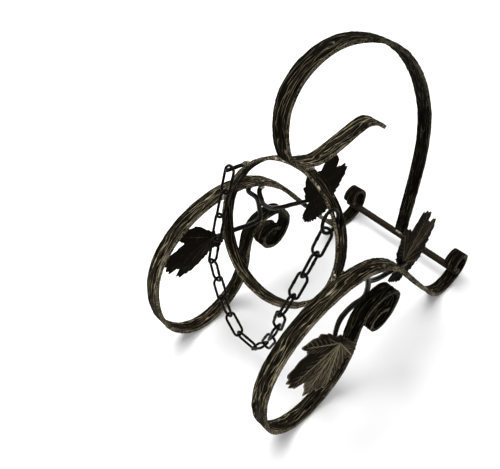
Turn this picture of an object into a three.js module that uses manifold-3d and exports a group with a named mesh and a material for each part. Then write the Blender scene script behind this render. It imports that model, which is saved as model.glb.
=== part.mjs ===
// Wrought-iron wine bottle holder, in millimetres. Two scrolled side bars carry a leaning hoop, a
// carrying handle, a rear cross rod, four vine leaves on wire stems and a slack chain.
// +Z is up, +X runs towards the rear cross rod and +Y towards the peg side. Lengths along X are
// first measured from the middle of the hoop, and the whole is centred over its footprint at the end.

import * as THREE from 'three';
import Module from 'manifold-3d';
import { mergeVertices } from 'three/addons/utils/BufferGeometryUtils.js';

const wasm = await Module();
wasm.setup();

// Driving dimensions
const GAP = 0.3;                 // space left between pieces that are welded or rest on each other
const BAR_WIDTH = 12;            // side bars: flat bar on edge, its width across the holder
const BAR_THICKNESS = 4;
const FOOT_FLAT = 0.3;           // how much the hammered feet are flattened

const HOOP_RADIUS = 51;          // outside radius
const HOOP_THICKNESS = 3;
const HOOP_WIDTH = 10;
const HOOP_HEIGHT = 130.3;       // hoop centre above the table
const HOOP_LEAN = 21;            // degrees, top towards the rear
const SLOT_LENGTH = 12;          // slot for the jump ring, along the hoop
const SLOT_WIDTH = 4.8;
const SLOT_ANGLE = 42.5;         // degrees above the hoop's side

const HANDLE_WIDTH = 12;
const HANDLE_THICKNESS = 3.5;

const ROD_DIAMETER = 6.5;
const ROD_X = 161.3;
const ROD_HEIGHT = 16.3;

const STEM_DIAMETER = 4;
const LEAF_LENGTH = 46;
const LEAF_THICKNESS = 1.2;
const FRONT_LEAF_FOLD = 0.1;     // rise of each half per millimetre away from the midrib
const REAR_LEAF_FOLD = 0.05;
const LEAF_DISH = 1.2;           // how far the leaf's tip curls back

const RING_RADIUS = 7.4;         // jump ring, middle of the wire
const RING_WIRE = 2.3;
const RING_TILT = 58;            // degrees between the ring's plane and the slot's own direction
const RING_DROP = 2;             // degrees that the ring's middle hangs below the slot

const LINK_GAP = 0.27;           // space left in the chain where wire hangs on wire
const LINK_WIRE = 2;
const LINK_LENGTH = 22;          // outside
const LINK_WIDTH = 9.6;          // outside
const LINK_COUNT = 17;
const LEG_LINKS = 4;             // links on each side that lean on the hoop
const LEG_LEAN = 24.2;           // degrees that they lean from upright

const PEG_DIAMETER = 2.8;
const PEG_LENGTH = 16.7;
const PEG_SPREAD = 12;           // degrees that the peg points outwards
const PEG_SETBACK = 1.5;         // its foot behind the hoop's middle line
const PEG_HOLD = 13;             // from its foot to where the last link hangs

const TUBE_SIDES = 8;
const LINK_SIDES = 6;
const LINK_BEND_STEPS = 8;

const IRON = { color: 0x27231d, roughness: 0.62, metalness: 0.75 };
const DARK_IRON = { color: 0x1a1815, roughness: 0.5, metalness: 0.8 };
const LEAF_IRON = { color: 0x35312a, roughness: 0.7, metalness: 0.6 };

const radians = THREE.MathUtils.degToRad;
const INNER_Y = HOOP_RADIUS + GAP;          // inner faces of the side bars
const OUTER_Y = INNER_Y + BAR_WIDTH;
const MIDDLE_Y = INNER_Y + BAR_WIDTH / 2;
const ROD_RADIUS = ROD_DIAMETER / 2;
const STEM_RADIUS = STEM_DIAMETER / 2;

// The hoop's own directions: AXLE through its opening, RISE up its leaning face
const HOOP_CENTRE = new THREE.Vector3(0, 0, HOOP_HEIGHT);
const AXLE = new THREE.Vector3(Math.cos(radians(HOOP_LEAN)), 0, -Math.sin(radians(HOOP_LEAN)));
const RISE = new THREE.Vector3(Math.sin(radians(HOOP_LEAN)), 0, Math.cos(radians(HOOP_LEAN)));
const SIDE = new THREE.Vector3(0, 1, 0);

const holder = new THREE.Group();
const body = new THREE.Group();
holder.add(body);

function addMesh(name, geometry, finish) {
  const mesh = new THREE.Mesh(geometry, new THREE.MeshStandardMaterial(finish));
  mesh.name = name;
  body.add(mesh);
  return mesh;
}

function smoothPath(points) {
  const vectors = points.map(([x, z]) => new THREE.Vector3(x, 0, z));
  return new THREE.CatmullRomCurve3(vectors, false, 'centripetal');
}

// Flat bar bent on the flat: both sides of the path are offset by half the thickness, and the
// outline between them is extruded across the holder, centred on y = middle.
function flatBar(points, stepsPerPoint, thickness, width, middle, floor = -Infinity) {
  const path = smoothPath(points);
  const steps = (points.length - 1) * stepsPerPoint;
  const left = [];
  const right = [];
  for (let i = 0; i <= steps; i += 1) {
    const point = path.getPoint(i / steps);
    const tangent = path.getTangent(i / steps);
    const offset = new THREE.Vector2(-tangent.z, tangent.x).multiplyScalar(thickness / 2);
    left.push(new THREE.Vector2(point.x + offset.x, Math.max(point.z + offset.y, floor)));
    right.push(new THREE.Vector2(point.x - offset.x, Math.max(point.z - offset.y, floor)));
  }
  const outline = new THREE.Shape(left.concat(right.reverse()));
  const geometry = new THREE.ExtrudeGeometry(outline, { depth: width, bevelEnabled: false });
  geometry.rotateX(Math.PI / 2);
  geometry.translate(0, middle + width / 2, 0);
  return geometry;
}

function roundWire(points, diameter, steps) {
  const path = new THREE.CatmullRomCurve3(points, false, 'centripetal');
  const section = new THREE.Shape();
  for (let i = 0; i < TUBE_SIDES; i += 1) {
    const angle = (2 * Math.PI * i) / TUBE_SIDES;
    const x = (Math.cos(angle) * diameter) / 2;
    const y = (Math.sin(angle) * diameter) / 2;
    if (i === 0) section.moveTo(x, y);
    else section.lineTo(x, y);
  }
  section.closePath();
  return new THREE.ExtrudeGeometry(section, { extrudePath: path, steps, bevelEnabled: false });
}

function roundRod(start, end, diameter, sides) {
  const length = start.distanceTo(end);
  const geometry = new THREE.CylinderGeometry(diameter / 2, diameter / 2, length, sides);
  const along = end.clone().sub(start).normalize();
  geometry.applyQuaternion(new THREE.Quaternion().setFromUnitVectors(SIDE, along));
  const middle = start.clone().add(end).multiplyScalar(0.5);
  return geometry.translate(middle.x, middle.y, middle.z);
}

// Turns a geometry drawn in X, Y, Z into the frame of three given directions
function place(geometry, xAxis, yAxis, zAxis, origin) {
  const matrix = new THREE.Matrix4().makeBasis(xAxis, yAxis, zAxis);
  matrix.setPosition(origin);
  return geometry.applyMatrix4(matrix);
}

function toManifold(geometry) {
  const bare = geometry.clone();
  bare.deleteAttribute('normal');
  bare.deleteAttribute('uv');
  const merged = mergeVertices(bare, 1e-4);
  return new wasm.Manifold(new wasm.Mesh({
    numProp: 3,
    vertProperties: new Float32Array(merged.attributes.position.array),
    triVerts: new Uint32Array(merged.index.array),
  }));
}

function fromManifold(solid) {
  const mesh = solid.getMesh();
  const geometry = new THREE.BufferGeometry();
  geometry.setAttribute('position', new THREE.BufferAttribute(mesh.vertProperties, 3));
  geometry.setIndex(new THREE.BufferAttribute(mesh.triVerts, 1));
  geometry.computeVertexNormals();
  return geometry;
}

// Side bars. The scroll runs from the inner end of the big curl, round the tall front loop that
// makes the front foot, over the shoulder that carries the hoop, down to the rear foot and round
// the small curl whose end is closed on the cross rod.
const REAR_END_ANGLE = 122;      // degrees round the rod, from +X, where the bar's end meets it
const rearEndReach = ROD_RADIUS + GAP;
const rearEnd = [
  ROD_X + rearEndReach * Math.cos(radians(REAR_END_ANGLE)),
  ROD_HEIGHT + rearEndReach * Math.sin(radians(REAR_END_ANGLE)),
];
const FOOT_CENTRE = BAR_THICKNESS / 2 - FOOT_FLAT;
const SCROLL = [
  [55, 58.5], [50, 62], [43.5, 63.5], [37.5, 61], [35.5, 54.5], [38.5, 48], [45, 44], [52.5, 44],
  [59, 48.5], [62.8, 55.5], [63.8, 63.5], [61.5, 71.5], [56, 77.5], [48.5, 80.8], [40.5, 81.5],
  [32.5, 80], [26, 75.5], [21.5, 68], [18.8, 57], [17, 43], [13, 29.5], [5.5, 17.5], [-5, 9],
  [-15.5, 3.9], [-24, FOOT_CENTRE], [-32, FOOT_CENTRE], [-41, 4.1], [-51, 10.5], [-61, 22.5],
  [-67.8, 38], [-70.8, 55], [-70.6, 72], [-67.6, 87], [-61.4, 100], [-52.6, 110.6], [-42, 119],
  [-29.5, 125.4], [-16, 129], [-2, 130.2], [11, 128.8], [24, 125], [37, 118], [49.5, 108.2],
  [62, 95.2], [77, 76], [92, 56.5], [107, 37.5], [119.5, 22], [129.5, 11.2], [138.5, 4.5],
  [146, FOOT_CENTRE], [154, FOOT_CENTRE], [161.5, 3.9], [168.4, 9.3], [172.3, 18.6], [170.6, 28],
  [164.2, 33.6], [157, 32.2], [154, 26.2], rearEnd,
];
for (const [name, side] of [['near_side_scroll_bar', -1], ['far_side_scroll_bar', 1]]) {
  addMesh(name, flatBar(SCROLL, 2, BAR_THICKNESS, BAR_WIDTH, side * MIDDLE_Y, 0), IRON);
}

// Hoop: a closed ring of flat bar with one slot for the jump ring
const hoopOutline = new THREE.Shape();
hoopOutline.absarc(0, 0, HOOP_RADIUS, 0, 2 * Math.PI, false);
const hoopBore = new THREE.Path();
hoopBore.absarc(0, 0, HOOP_RADIUS - HOOP_THICKNESS, 0, 2 * Math.PI, true);
hoopOutline.holes.push(hoopBore);
const hoopBlank = new THREE.ExtrudeGeometry(hoopOutline, {
  depth: HOOP_WIDTH, bevelEnabled: false, curveSegments: 36,
});
hoopBlank.translate(0, 0, -HOOP_WIDTH / 2);
place(hoopBlank, SIDE, RISE, AXLE, HOOP_CENTRE);

// The slot lies at SLOT_ANGLE on the near side: OUTWARD is its own direction, UPHILL runs up the hoop
const slotAngle = radians(SLOT_ANGLE);
const OUTWARD = SIDE.clone().multiplyScalar(-Math.cos(slotAngle))
  .addScaledVector(RISE, Math.sin(slotAngle));
const UPHILL = SIDE.clone().multiplyScalar(Math.sin(slotAngle))
  .addScaledVector(RISE, Math.cos(slotAngle));
const SLOT_OFFSET = 0.8;         // the slot sits this much forward of the hoop's middle line
const hoopMiddleRadius = HOOP_RADIUS - HOOP_THICKNESS / 2;
const slotMiddle = HOOP_CENTRE.clone().addScaledVector(OUTWARD, hoopMiddleRadius);
const slotOutline = new THREE.Shape();
const slotReach = (SLOT_LENGTH - SLOT_WIDTH) / 2;
slotOutline.absarc(0, slotReach, SLOT_WIDTH / 2, 0, Math.PI, false);
slotOutline.absarc(0, -slotReach, SLOT_WIDTH / 2, Math.PI, 2 * Math.PI, false);
const slotCutDepth = 4 * HOOP_THICKNESS;
const slotCutter = new THREE.ExtrudeGeometry(slotOutline, {
  depth: slotCutDepth, bevelEnabled: false, curveSegments: 8,
});
slotCutter.translate(-SLOT_OFFSET, 0, -slotCutDepth / 2);
place(slotCutter, AXLE, UPHILL, OUTWARD.clone(), slotMiddle);
addMesh('hoop', fromManifold(toManifold(hoopBlank).subtract(toManifold(slotCutter))), IRON);

// Handle: one flat bar from the top of the cross rod up the rear leg, over the loop, down onto the
// top of the hoop and back inside the loop as a tail
const hoopTop = HOOP_CENTRE.clone()
  .addScaledVector(RISE, HOOP_RADIUS + GAP + HANDLE_THICKNESS / 2);
const onHoop = (along) => [hoopTop.x + along * AXLE.x, hoopTop.z + along * AXLE.z];
const fromHoop = (dx, dz) => [hoopTop.x + dx, hoopTop.z + dz];
const HANDLE_PATH = [
  fromHoop(75.5, -8.7), fromHoop(71.5, -5.2), fromHoop(67, -1.9), fromHoop(62, 0.8),
  fromHoop(56.5, 2.3), fromHoop(50, 2.1), fromHoop(43, 0.8), fromHoop(36, -0.7),
  fromHoop(27, -2.3), fromHoop(17, -3.7), onHoop(9), onHoop(4.5),
  onHoop(0), onHoop(-4.5), fromHoop(-10.5, 5), fromHoop(-15.5, 10.4), fromHoop(-18.8, 18),
  fromHoop(-20.6, 27), fromHoop(-21.2, 36), fromHoop(-20.4, 45), fromHoop(-17.4, 53),
  fromHoop(-12, 60), fromHoop(-4.5, 65.4), fromHoop(5, 69), fromHoop(15.5, 70.4),
  fromHoop(26, 70), fromHoop(37, 67.5), fromHoop(48, 63.8), fromHoop(59, 59), fromHoop(69.5, 53),
  fromHoop(79.5, 46), [108, 218], [117, 209], [125.5, 199], [133.5, 188], [140.5, 176.5],
  [147, 164.5], [152.4, 152], [156.6, 138.5], [159.8, 124], [161.8, 108], [162.6, 92],
  [162.6, 76], [162.3, 60], [161.8, 44], [ROD_X + 0.3, 30],
  [ROD_X, ROD_HEIGHT + ROD_RADIUS + GAP],
];
addMesh('handle', flatBar(HANDLE_PATH, 2, HANDLE_THICKNESS, HANDLE_WIDTH, 0), IRON);

// Cross rod, through both small rear curls
addMesh('rear_cross_rod', roundRod(
  new THREE.Vector3(ROD_X, -OUTER_Y, ROD_HEIGHT),
  new THREE.Vector3(ROD_X, OUTER_Y, ROD_HEIGHT),
  ROD_DIAMETER, 24,
), DARK_IRON);

// Vine leaf: its rim in polar form about the stem's end, from lobe tips and notches as
// [degrees from the midrib, share of the leaf's length], with small teeth on top. The two halves
// differ, as a leaf that is bent by hand does; the first is below the front midrib and in front of
// the rear one.
const FRONT_LEAF_RIM = [
  [[0, 0.98], [12, 0.78], [24, 0.91], [40, 0.8], [67, 0.53], [90, 0.4], [105, 0.53], [127, 0.44],
    [140, 0.2], [180, 0.06]],
  [[0, 0.98], [16, 1.03], [37, 0.7], [46, 0.9], [62, 0.66], [69, 0.52], [76, 0.26], [92, 0.15],
    [180, 0.06]],
];
const REAR_LEAF_RIM = [
  [[0, 0.97], [14, 0.98], [27, 0.72], [45, 0.9], [61, 0.61], [72, 0.38], [92, 0.18], [135, 0.2],
    [160, 0.36], [180, 0.4]],
  [[0, 0.97], [12, 0.79], [27, 0.93], [53, 0.73], [74, 0.58], [86, 0.62], [110, 0.57], [135, 0.5],
    [180, 0.4]],
];
// Corners round the rim: a tip and a notch for each tooth, and one more at the stem
const LEAF_TEETH = 41;
const LEAF_CORNERS = 2 * Math.round(LEAF_TEETH) + 1;
const LEAF_RINGS = [0.45, 1];
const TOOTH = 0.03;

function rimShare(halves, angle) {
  const lobes = halves[angle < 0 ? 1 : 0];
  const degrees = Math.abs(THREE.MathUtils.radToDeg(angle));
  let i = 0;
  while (i < lobes.length - 2 && degrees > lobes[i + 1][0]) i += 1;
  const [a0, r0] = lobes[i];
  const [a1, r1] = lobes[i + 1];
  const along = (degrees - a0) / (a1 - a0);
  return r0 + (r1 - r0) * (1 - Math.cos(Math.PI * along)) / 2;
}

// The leaf is drawn with its midrib along +X and its upper face towards +Z. It folds a little
// along the midrib and its rim curls down. A turn of -1 gives its mirror image.
function leafGeometry(halves, foldSlope, turn) {
  const positions = [0, 0, LEAF_THICKNESS / 2];
  const indices = [];
  const face = (share, i, side) => {
    const angle = -Math.PI + (2 * Math.PI * (i + 0.5)) / LEAF_CORNERS;
    const tooth = i % 2 === 0 ? TOOTH : -TOOTH;
    const radius = LEAF_LENGTH * share * (rimShare(halves, turn * angle) + (share === 1 ? tooth : 0));
    const x = radius * Math.cos(angle);
    const y = radius * Math.sin(angle);
    const fold = foldSlope * Math.abs(y);
    const curl = LEAF_DISH * (radius / LEAF_LENGTH) ** 2;
    return [x, y, fold - curl + side * (LEAF_THICKNESS / 2)];
  };
  for (const side of [1, -1]) {
    for (const share of LEAF_RINGS) {
      for (let i = 0; i < LEAF_CORNERS; i += 1) positions.push(...face(share, i, side));
    }
    if (side === 1) positions.push(0, 0, -LEAF_THICKNESS / 2);
  }
  const rings = LEAF_RINGS.length;
  const underCentre = 1 + rings * LEAF_CORNERS;
  const top = (ring, i) => 1 + ring * LEAF_CORNERS + (i % LEAF_CORNERS);
  const under = (ring, i) => underCentre + 1 + ring * LEAF_CORNERS + (i % LEAF_CORNERS);
  for (let i = 0; i < LEAF_CORNERS; i += 1) {
    indices.push(0, top(0, i), top(0, i + 1));
    indices.push(underCentre, under(0, i + 1), under(0, i));
    for (let ring = 0; ring < rings - 1; ring += 1) {
      indices.push(top(ring, i), top(ring + 1, i), top(ring + 1, i + 1));
      indices.push(top(ring, i), top(ring + 1, i + 1), top(ring, i + 1));
      indices.push(under(ring, i), under(ring + 1, i + 1), under(ring + 1, i));
      indices.push(under(ring, i), under(ring, i + 1), under(ring + 1, i + 1));
    }
    const rim = rings - 1;
    indices.push(top(rim, i), under(rim, i), under(rim, i + 1));
    indices.push(top(rim, i), under(rim, i + 1), top(rim, i + 1));
  }
  const geometry = new THREE.BufferGeometry();
  geometry.setAttribute('position', new THREE.Float32BufferAttribute(positions, 3));
  geometry.setIndex(indices);
  geometry.computeVertexNormals();
  return geometry;
}

// Each stem is welded square under its side bar's shoulder and ends behind its leaf. The points
// are [x, distance inwards from the bar's middle, z]; onScroll gives one at a depth below the scroll.
const scrollPath = smoothPath(SCROLL);
const onScroll = (index, depth, inset) => {
  const t = index / (SCROLL.length - 1);
  const seat = scrollPath.getPoint(t);
  const tangent = scrollPath.getTangent(t);
  return [seat.x + tangent.z * depth, inset, seat.z - tangent.x * depth];
};
const STEM_START = BAR_THICKNESS / 2 + 1.3 * GAP;
const STEM_TOUCH = BAR_THICKNESS / 2 + GAP + STEM_RADIUS;
const FRONT_STEM = [
  onScroll(40, STEM_START, 2.4), onScroll(40, STEM_START + STEM_DIAMETER, 2.4),
  [29.5, 2.8, 107], [32.2, 3, 95.5], onScroll(14.9, STEM_TOUCH, 4), [20.5, 4.2, 85.2],
  [11, 3, 87], [2.5, 1, 87.4], [-4.5, -2.2, 85.6], [-9, -5.4, 81],
];
const REAR_STEM = [
  onScroll(40.75, STEM_START, 4.8), onScroll(40.75, STEM_START + STEM_DIAMETER, 4.8),
  [30.6, 7.1, 108], [31.7, 7.3, 103.5], [34.7, 7.3, 98.7], [40.4, 7.2, 92.4], [47.7, 7.2, 87.8],
  [55.7, 7.3, 84.3], [64, 7.7, 81.6], [73, 8.1, 78.2], [80.5, 8.3, 75.5], [89, 8.3, 73],
];

// Where each leaf lies: its stem, the midrib's direction, the upper face's direction, its fold, and
// on which side of its stem's end it lies, outside positive
const LEAVES = [
  {
    name: 'front', stem: FRONT_STEM, midrib: [-0.985, 0, -0.17], face: [0, -1, 0.16],
    rim: FRONT_LEAF_RIM, fold: FRONT_LEAF_FOLD, lies: 1.04,
  },
  {
    name: 'rear', stem: REAR_STEM, midrib: [0.54, 0, 0.84], face: [0.02, -1, 0.02],
    rim: REAR_LEAF_RIM, fold: REAR_LEAF_FOLD, lies: -1.24,
  },
];
const LEAF_STANDOFF = STEM_RADIUS + LEAF_THICKNESS / 2;
for (const [sideName, side] of [['near', -1], ['far', 1]]) {
  const across = (inwards) => side * (MIDDLE_Y - inwards);
  for (const { name, stem, midrib, face, rim, fold, lies } of LEAVES) {
    const points = stem.map(([x, inwards, z]) => new THREE.Vector3(x, across(inwards), z));
    addMesh(`${sideName}_${name}_leaf_stem`, roundWire(points, STEM_DIAMETER, 16), DARK_IRON);
    const along = new THREE.Vector3(midrib[0], -side * midrib[1], midrib[2]).normalize();
    const outwards = new THREE.Vector3(face[0], -side * face[1], face[2]);
    const across3 = outwards.clone().cross(along).normalize();
    const upper = along.clone().cross(across3).normalize();
    const seat = points[points.length - 1].clone().addScaledVector(upper, lies * LEAF_STANDOFF)
      .addScaledVector(along, -STEM_RADIUS);
    const leaf = leafGeometry(rim, fold, -side);
    addMesh(`${sideName}_${name}_leaf`, place(leaf, along, across3, upper, seat), LEAF_IRON);
  }
}

// Jump ring: it passes through the slot and round the front edge of the hoop, in a nearly
// upright plane, so its lowest point hangs in front of the hoop
const ringTilt = radians(RING_TILT);
const RING_UP = OUTWARD.clone().multiplyScalar(Math.cos(ringTilt))
  .addScaledVector(UPHILL, Math.sin(ringTilt));
const ringDrop = radians(RING_DROP);
const ringCentre = slotMiddle.clone().addScaledVector(AXLE, -RING_RADIUS * Math.cos(ringDrop) - 0.3)
  .addScaledVector(RING_UP, -RING_RADIUS * Math.sin(ringDrop));
const ringBottom = ringCentre.clone().addScaledVector(RING_UP, -RING_RADIUS);
const ringNormal = AXLE.clone().cross(RING_UP).normalize();
const ringGeometry = new THREE.TorusGeometry(RING_RADIUS, RING_WIRE / 2, 8, 28);
addMesh('jump_ring', place(ringGeometry, AXLE, RING_UP, ringNormal, ringCentre), DARK_IRON);

// Peg on the other side of the hoop, where the chain's last link hooks over. A joint lies in the
// middle of the wire that hangs there, and both ends of the chain hang at the same height.
const nearHook = ringBottom.clone().addScaledVector(RING_UP, (RING_WIRE + LINK_WIRE) / 2 + 1.8 * GAP);
const pegHang = (PEG_DIAMETER + LINK_WIRE) / 2 + 1.3 * GAP;
const pegHeight = nearHook.z - pegHang;
const pegRise = (pegHeight - HOOP_HEIGHT) / RISE.z;
const pegFootRadius = HOOP_RADIUS + PEG_DIAMETER / 2;
const pegAlong = new THREE.Vector3(-Math.cos(radians(PEG_SPREAD)), Math.sin(radians(PEG_SPREAD)), 0);
const pegFoot = new THREE.Vector3(
  pegRise * RISE.x + PEG_SETBACK, Math.sqrt(pegFootRadius ** 2 - pegRise ** 2), pegHeight,
);
const pegTip = pegFoot.clone().addScaledVector(pegAlong, PEG_LENGTH);
addMesh('chain_peg', roundRod(pegFoot, pegTip, PEG_DIAMETER, 12), DARK_IRON);
const farHook = pegFoot.clone().addScaledVector(pegAlong, PEG_HOLD);
farHook.z = nearHook.z;

// Chain: an odd number of links hang as a discrete catenary, in which the slope of each link grows
// evenly from the level middle link. At a joint one link's wire lies on the joint itself, WIRE_REACH
// from its middle, and the other link wraps round it, LOOP_REACH from its own middle. Every second
// link is turned across the sling and its wire is the one at the joint, except where the leaning
// legs meet the upright part.
const WIRE_REACH = (LINK_LENGTH - LINK_WIRE) / 2;
const LOOP_REACH = WIRE_REACH - LINK_WIRE - LINK_GAP;
const SPAN = farHook.clone().sub(nearHook);
const halfSpan = SPAN.length() / 2;
SPAN.normalize();
const sideLinks = (LINK_COUNT - 1) / 2;
const isTurned = (i) => i % 2 === 1;
const isLeg = (i) => i < LEG_LINKS || i >= LINK_COUNT - LEG_LINKS;

function reachTowards(i, neighbour) {
  if (neighbour < 0 || neighbour >= LINK_COUNT) return WIRE_REACH;
  if (isLeg(i) !== isLeg(neighbour)) return isLeg(i) ? LOOP_REACH : WIRE_REACH;
  return isTurned(i) ? WIRE_REACH : LOOP_REACH;
}

const linkRun = (i) => reachTowards(i, i - 1) + reachTowards(i, i + 1);

function spanAtSlope(slope) {
  let span = linkRun(sideLinks) / 2;
  for (let j = 1; j <= sideLinks; j += 1) span += linkRun(sideLinks - j) / Math.hypot(1, j * slope);
  return span;
}

let lowSlope = 0;
let highSlope = 50;
for (let i = 0; i < 60; i += 1) {
  const slope = (lowSlope + highSlope) / 2;
  if (spanAtSlope(slope) > halfSpan) lowSlope = slope;
  else highSlope = slope;
}
const catenarySlope = (lowSlope + highSlope) / 2;

// Two straight sides and two half circles, with one step on each straight side
class OvalPath extends THREE.Curve {
  constructor(length, width) {
    super();
    this.bend = width / 2;
    this.reach = (length - width) / 2;
  }

  getUtoTmapping(u) {
    return u;
  }

  getPoint(t, target = new THREE.Vector3()) {
    const half = LINK_BEND_STEPS + 1;
    const step = (t % 1) * 2 * half;
    const side = step < half ? 1 : -1;
    const local = step % half;
    const angle = (Math.PI * Math.min(local, LINK_BEND_STEPS)) / LINK_BEND_STEPS;
    const slide = Math.max(local - LINK_BEND_STEPS, 0) * 2 * this.reach;
    return target.set(
      side * this.bend * Math.cos(angle),
      side * (this.reach + this.bend * Math.sin(angle) - slide),
      0,
    );
  }
}

function chainLink(middle, along, fall, turned) {
  const path = new OvalPath(LINK_LENGTH - LINK_WIRE, LINK_WIDTH - LINK_WIRE);
  const geometry = new THREE.TubeGeometry(
    path, 2 * (LINK_BEND_STEPS + 1), LINK_WIRE / 2, LINK_SIDES, true,
  );
  const facing = SPAN.clone().cross(fall).normalize();
  const across = turned ? facing : facing.clone().cross(along).normalize();
  return place(geometry, across, along, across.clone().cross(along), middle);
}

const lean = radians(LEG_LEAN);
const UPRIGHT = new THREE.Vector3(0, 0, -1);
const LEANING = UPRIGHT.clone().applyAxisAngle(SPAN, lean);
const joint = nearHook.clone();
for (let i = 0; i < LINK_COUNT; i += 1) {
  const slope = (i - sideLinks) * catenarySlope;
  const fall = isLeg(i) ? LEANING : UPRIGHT;
  const along = SPAN.clone().addScaledVector(fall, -slope).normalize();
  const middle = joint.clone().addScaledVector(along, reachTowards(i, i - 1));
  let name = `sling_link_${i + 1 - LEG_LINKS}`;
  if (isLeg(i)) name = i < LEG_LINKS ? `near_leg_link_${i + 1}` : `far_leg_link_${LINK_COUNT - i}`;
  addMesh(name, chainLink(middle, along, fall, isTurned(i)), DARK_IRON);
  joint.addScaledVector(along, linkRun(i));
}

// The whole stands centred over its footprint
holder.updateMatrixWorld(true);
const bounds = new THREE.Box3().setFromObject(holder, true);
const middle = bounds.getCenter(new THREE.Vector3());
body.position.set(-middle.x, -middle.y, -bounds.min.z);

export default holder;
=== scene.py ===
# Wrought-iron bottle holder: the looks of every piece, built as numpy surfaces over the packed
# CAD model. Lengths are millimetres, measured along X from the hoop's middle, and metres in the
# finishes and on the stage.

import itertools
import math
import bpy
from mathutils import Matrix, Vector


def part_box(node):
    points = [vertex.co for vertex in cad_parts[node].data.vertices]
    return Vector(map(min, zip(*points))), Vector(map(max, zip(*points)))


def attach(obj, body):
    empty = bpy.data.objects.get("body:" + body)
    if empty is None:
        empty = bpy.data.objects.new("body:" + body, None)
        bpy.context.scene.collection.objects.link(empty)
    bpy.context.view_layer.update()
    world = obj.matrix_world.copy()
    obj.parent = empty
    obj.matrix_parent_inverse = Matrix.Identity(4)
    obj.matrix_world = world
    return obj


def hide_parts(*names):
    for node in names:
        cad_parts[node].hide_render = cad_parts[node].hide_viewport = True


bl_info = {
    "name": "Forged Iron Bottle Holder",
    "version": (1, 0, 0),
    "blender": (4, 5, 0),
    "location": "View3D > Sidebar > Bottle Holder",
    "description": "Builds the bars, hoop, handle, leaves and chain of a forged-iron bottle holder",
    "category": "Object",
}

from types import SimpleNamespace

import bpy
import numpy as np
from mathutils import Matrix, Vector

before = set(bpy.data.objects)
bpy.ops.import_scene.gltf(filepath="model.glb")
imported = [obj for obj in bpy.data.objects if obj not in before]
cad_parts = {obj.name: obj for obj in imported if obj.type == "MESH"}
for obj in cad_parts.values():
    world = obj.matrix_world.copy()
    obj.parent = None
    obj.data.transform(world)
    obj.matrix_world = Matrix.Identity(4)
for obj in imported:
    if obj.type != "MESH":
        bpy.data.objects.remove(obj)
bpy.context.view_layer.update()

MM = 0.001
SIDES = (("near", -1), ("far", 1))

# The cross rod's middle; from it comes how far this file's origin lies from the frame's
ROD_X = 161.3
ROD_HEIGHT = 16.3
rod_low, rod_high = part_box("rear_cross_rod")
SHIFT = np.array([(rod_low[0] + rod_high[0]) / 2 / MM - ROD_X, 0.0, 0.0])

# Left between pieces that are welded or rest on each other, and a little more where round
# pieces meet a bar or hang on one another
WELD_GAP = 0.3
ROUND_GAP = 1.3 * WELD_GAP
RING_GAP = 1.8 * WELD_GAP

# The hoop leans to the rear. Its directions are through it to the rear, up its plane, and
# across the holder to the far side
HOOP_HEIGHT = 130.3
HOOP_LEAN = math.radians(21)
HOOP_CENTRE = np.array([0.0, 0.0, HOOP_HEIGHT])
AXLE = np.array([math.cos(HOOP_LEAN), 0.0, -math.sin(HOOP_LEAN)])
RISE = np.array([math.sin(HOOP_LEAN), 0.0, math.cos(HOOP_LEAN)])
SIDE = np.array([0.0, 1.0, 0.0])

# Specks of weld scale on the hoop's front edge: degrees round from its far side and half length,
# then the other two radii, which are the same for all
HOOP_SPECKS = ((69, 1.8), (77, 1.6), (112, 2.6))
SPECK_GIRTH = (0.9, 0.8)

# Weld beads by their place: the radii along the seam and the two ways across it
BEADS = {
    "handle seat": (4.6, 1.3, 1.2),
    "hoop side": (3.4, 1.2, 1.3),
    "rear curl": (4.8, 1.5, 1.5),
    "stem root": (2.9, 2.6, 1.1),
    "stem touch": (3.2, 1.5, 0.9),
    "handle foot": (5.0, 1.3, 1.1),
    "peg foot": (3.6, 1.9, 1.9),
}

# The side bars' scroll, [x, z] from the inner end of the big curl to the cross rod
SCROLL = [
    [55, 58.5], [50, 62], [43.5, 63.5], [37.5, 61], [35.5, 54.5], [38.5, 48], [45, 44], [52.5, 44],
    [59, 48.5], [62.8, 55.5], [63.8, 63.5], [61.5, 71.5], [56, 77.5], [48.5, 80.8], [40.5, 81.5],
    [32.5, 80], [26, 75.5], [21.5, 68], [18.8, 57], [17, 43], [13, 29.5], [5.5, 17.5], [-5, 9],
    [-15.5, 3.9], [-24, 1.7], [-32, 1.7], [-41, 4.1], [-51, 10.5], [-61, 22.5], [-67.8, 38],
    [-70.8, 55], [-70.6, 72], [-67.6, 87], [-61.4, 100], [-52.6, 110.6], [-42, 119], [-29.5, 125.4],
    [-16, 129], [-2, 130.2], [11, 128.8], [24, 125], [37, 118], [49.5, 108.2], [62, 95.2], [77, 76],
    [92, 56.5], [107, 37.5], [119.5, 22], [129.5, 11.2], [138.5, 4.5], [146, 1.7],
    [154, 1.7], [161.5, 3.9], [168.4, 9.3], [172.3, 18.6], [170.6, 28], [164.2, 33.6], [157, 32.2],
    [154, 26.2], [159.42, 19.31],
]

# The handle, [x, z] from the middle of its seat on the hoop; the rest is from the hoop's middle
HANDLE_FROM_SEAT = [
    [75.5, -8.7], [71.5, -5.2], [67, -1.9], [62, 0.8], [56.5, 2.3], [50, 2.1], [43, 0.8],
    [36, -0.7], [27, -2.3], [17, -3.7], [8.4, -3.23], [4.2, -1.61], [0, 0], [-4.2, 1.61],
    [-10.5, 5], [-15.5, 10.4], [-18.8, 18], [-20.6, 27], [-21.2, 36], [-20.4, 45], [-17.4, 53],
    [-12, 60], [-4.5, 65.4], [5, 69], [15.5, 70.4], [26, 70], [37, 67.5], [48, 63.8], [59, 59],
    [69.5, 53], [79.5, 46],
]
HANDLE_LEG = [
    [108, 218], [117, 209], [125.5, 199], [133.5, 188], [140.5, 176.5], [147, 164.5], [152.4, 152],
    [156.6, 138.5], [159.8, 124], [161.8, 108], [162.6, 92], [162.6, 76], [162.3, 60], [161.8, 44],
    [161.6, 30], [161.3, 19.85],
]

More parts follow.
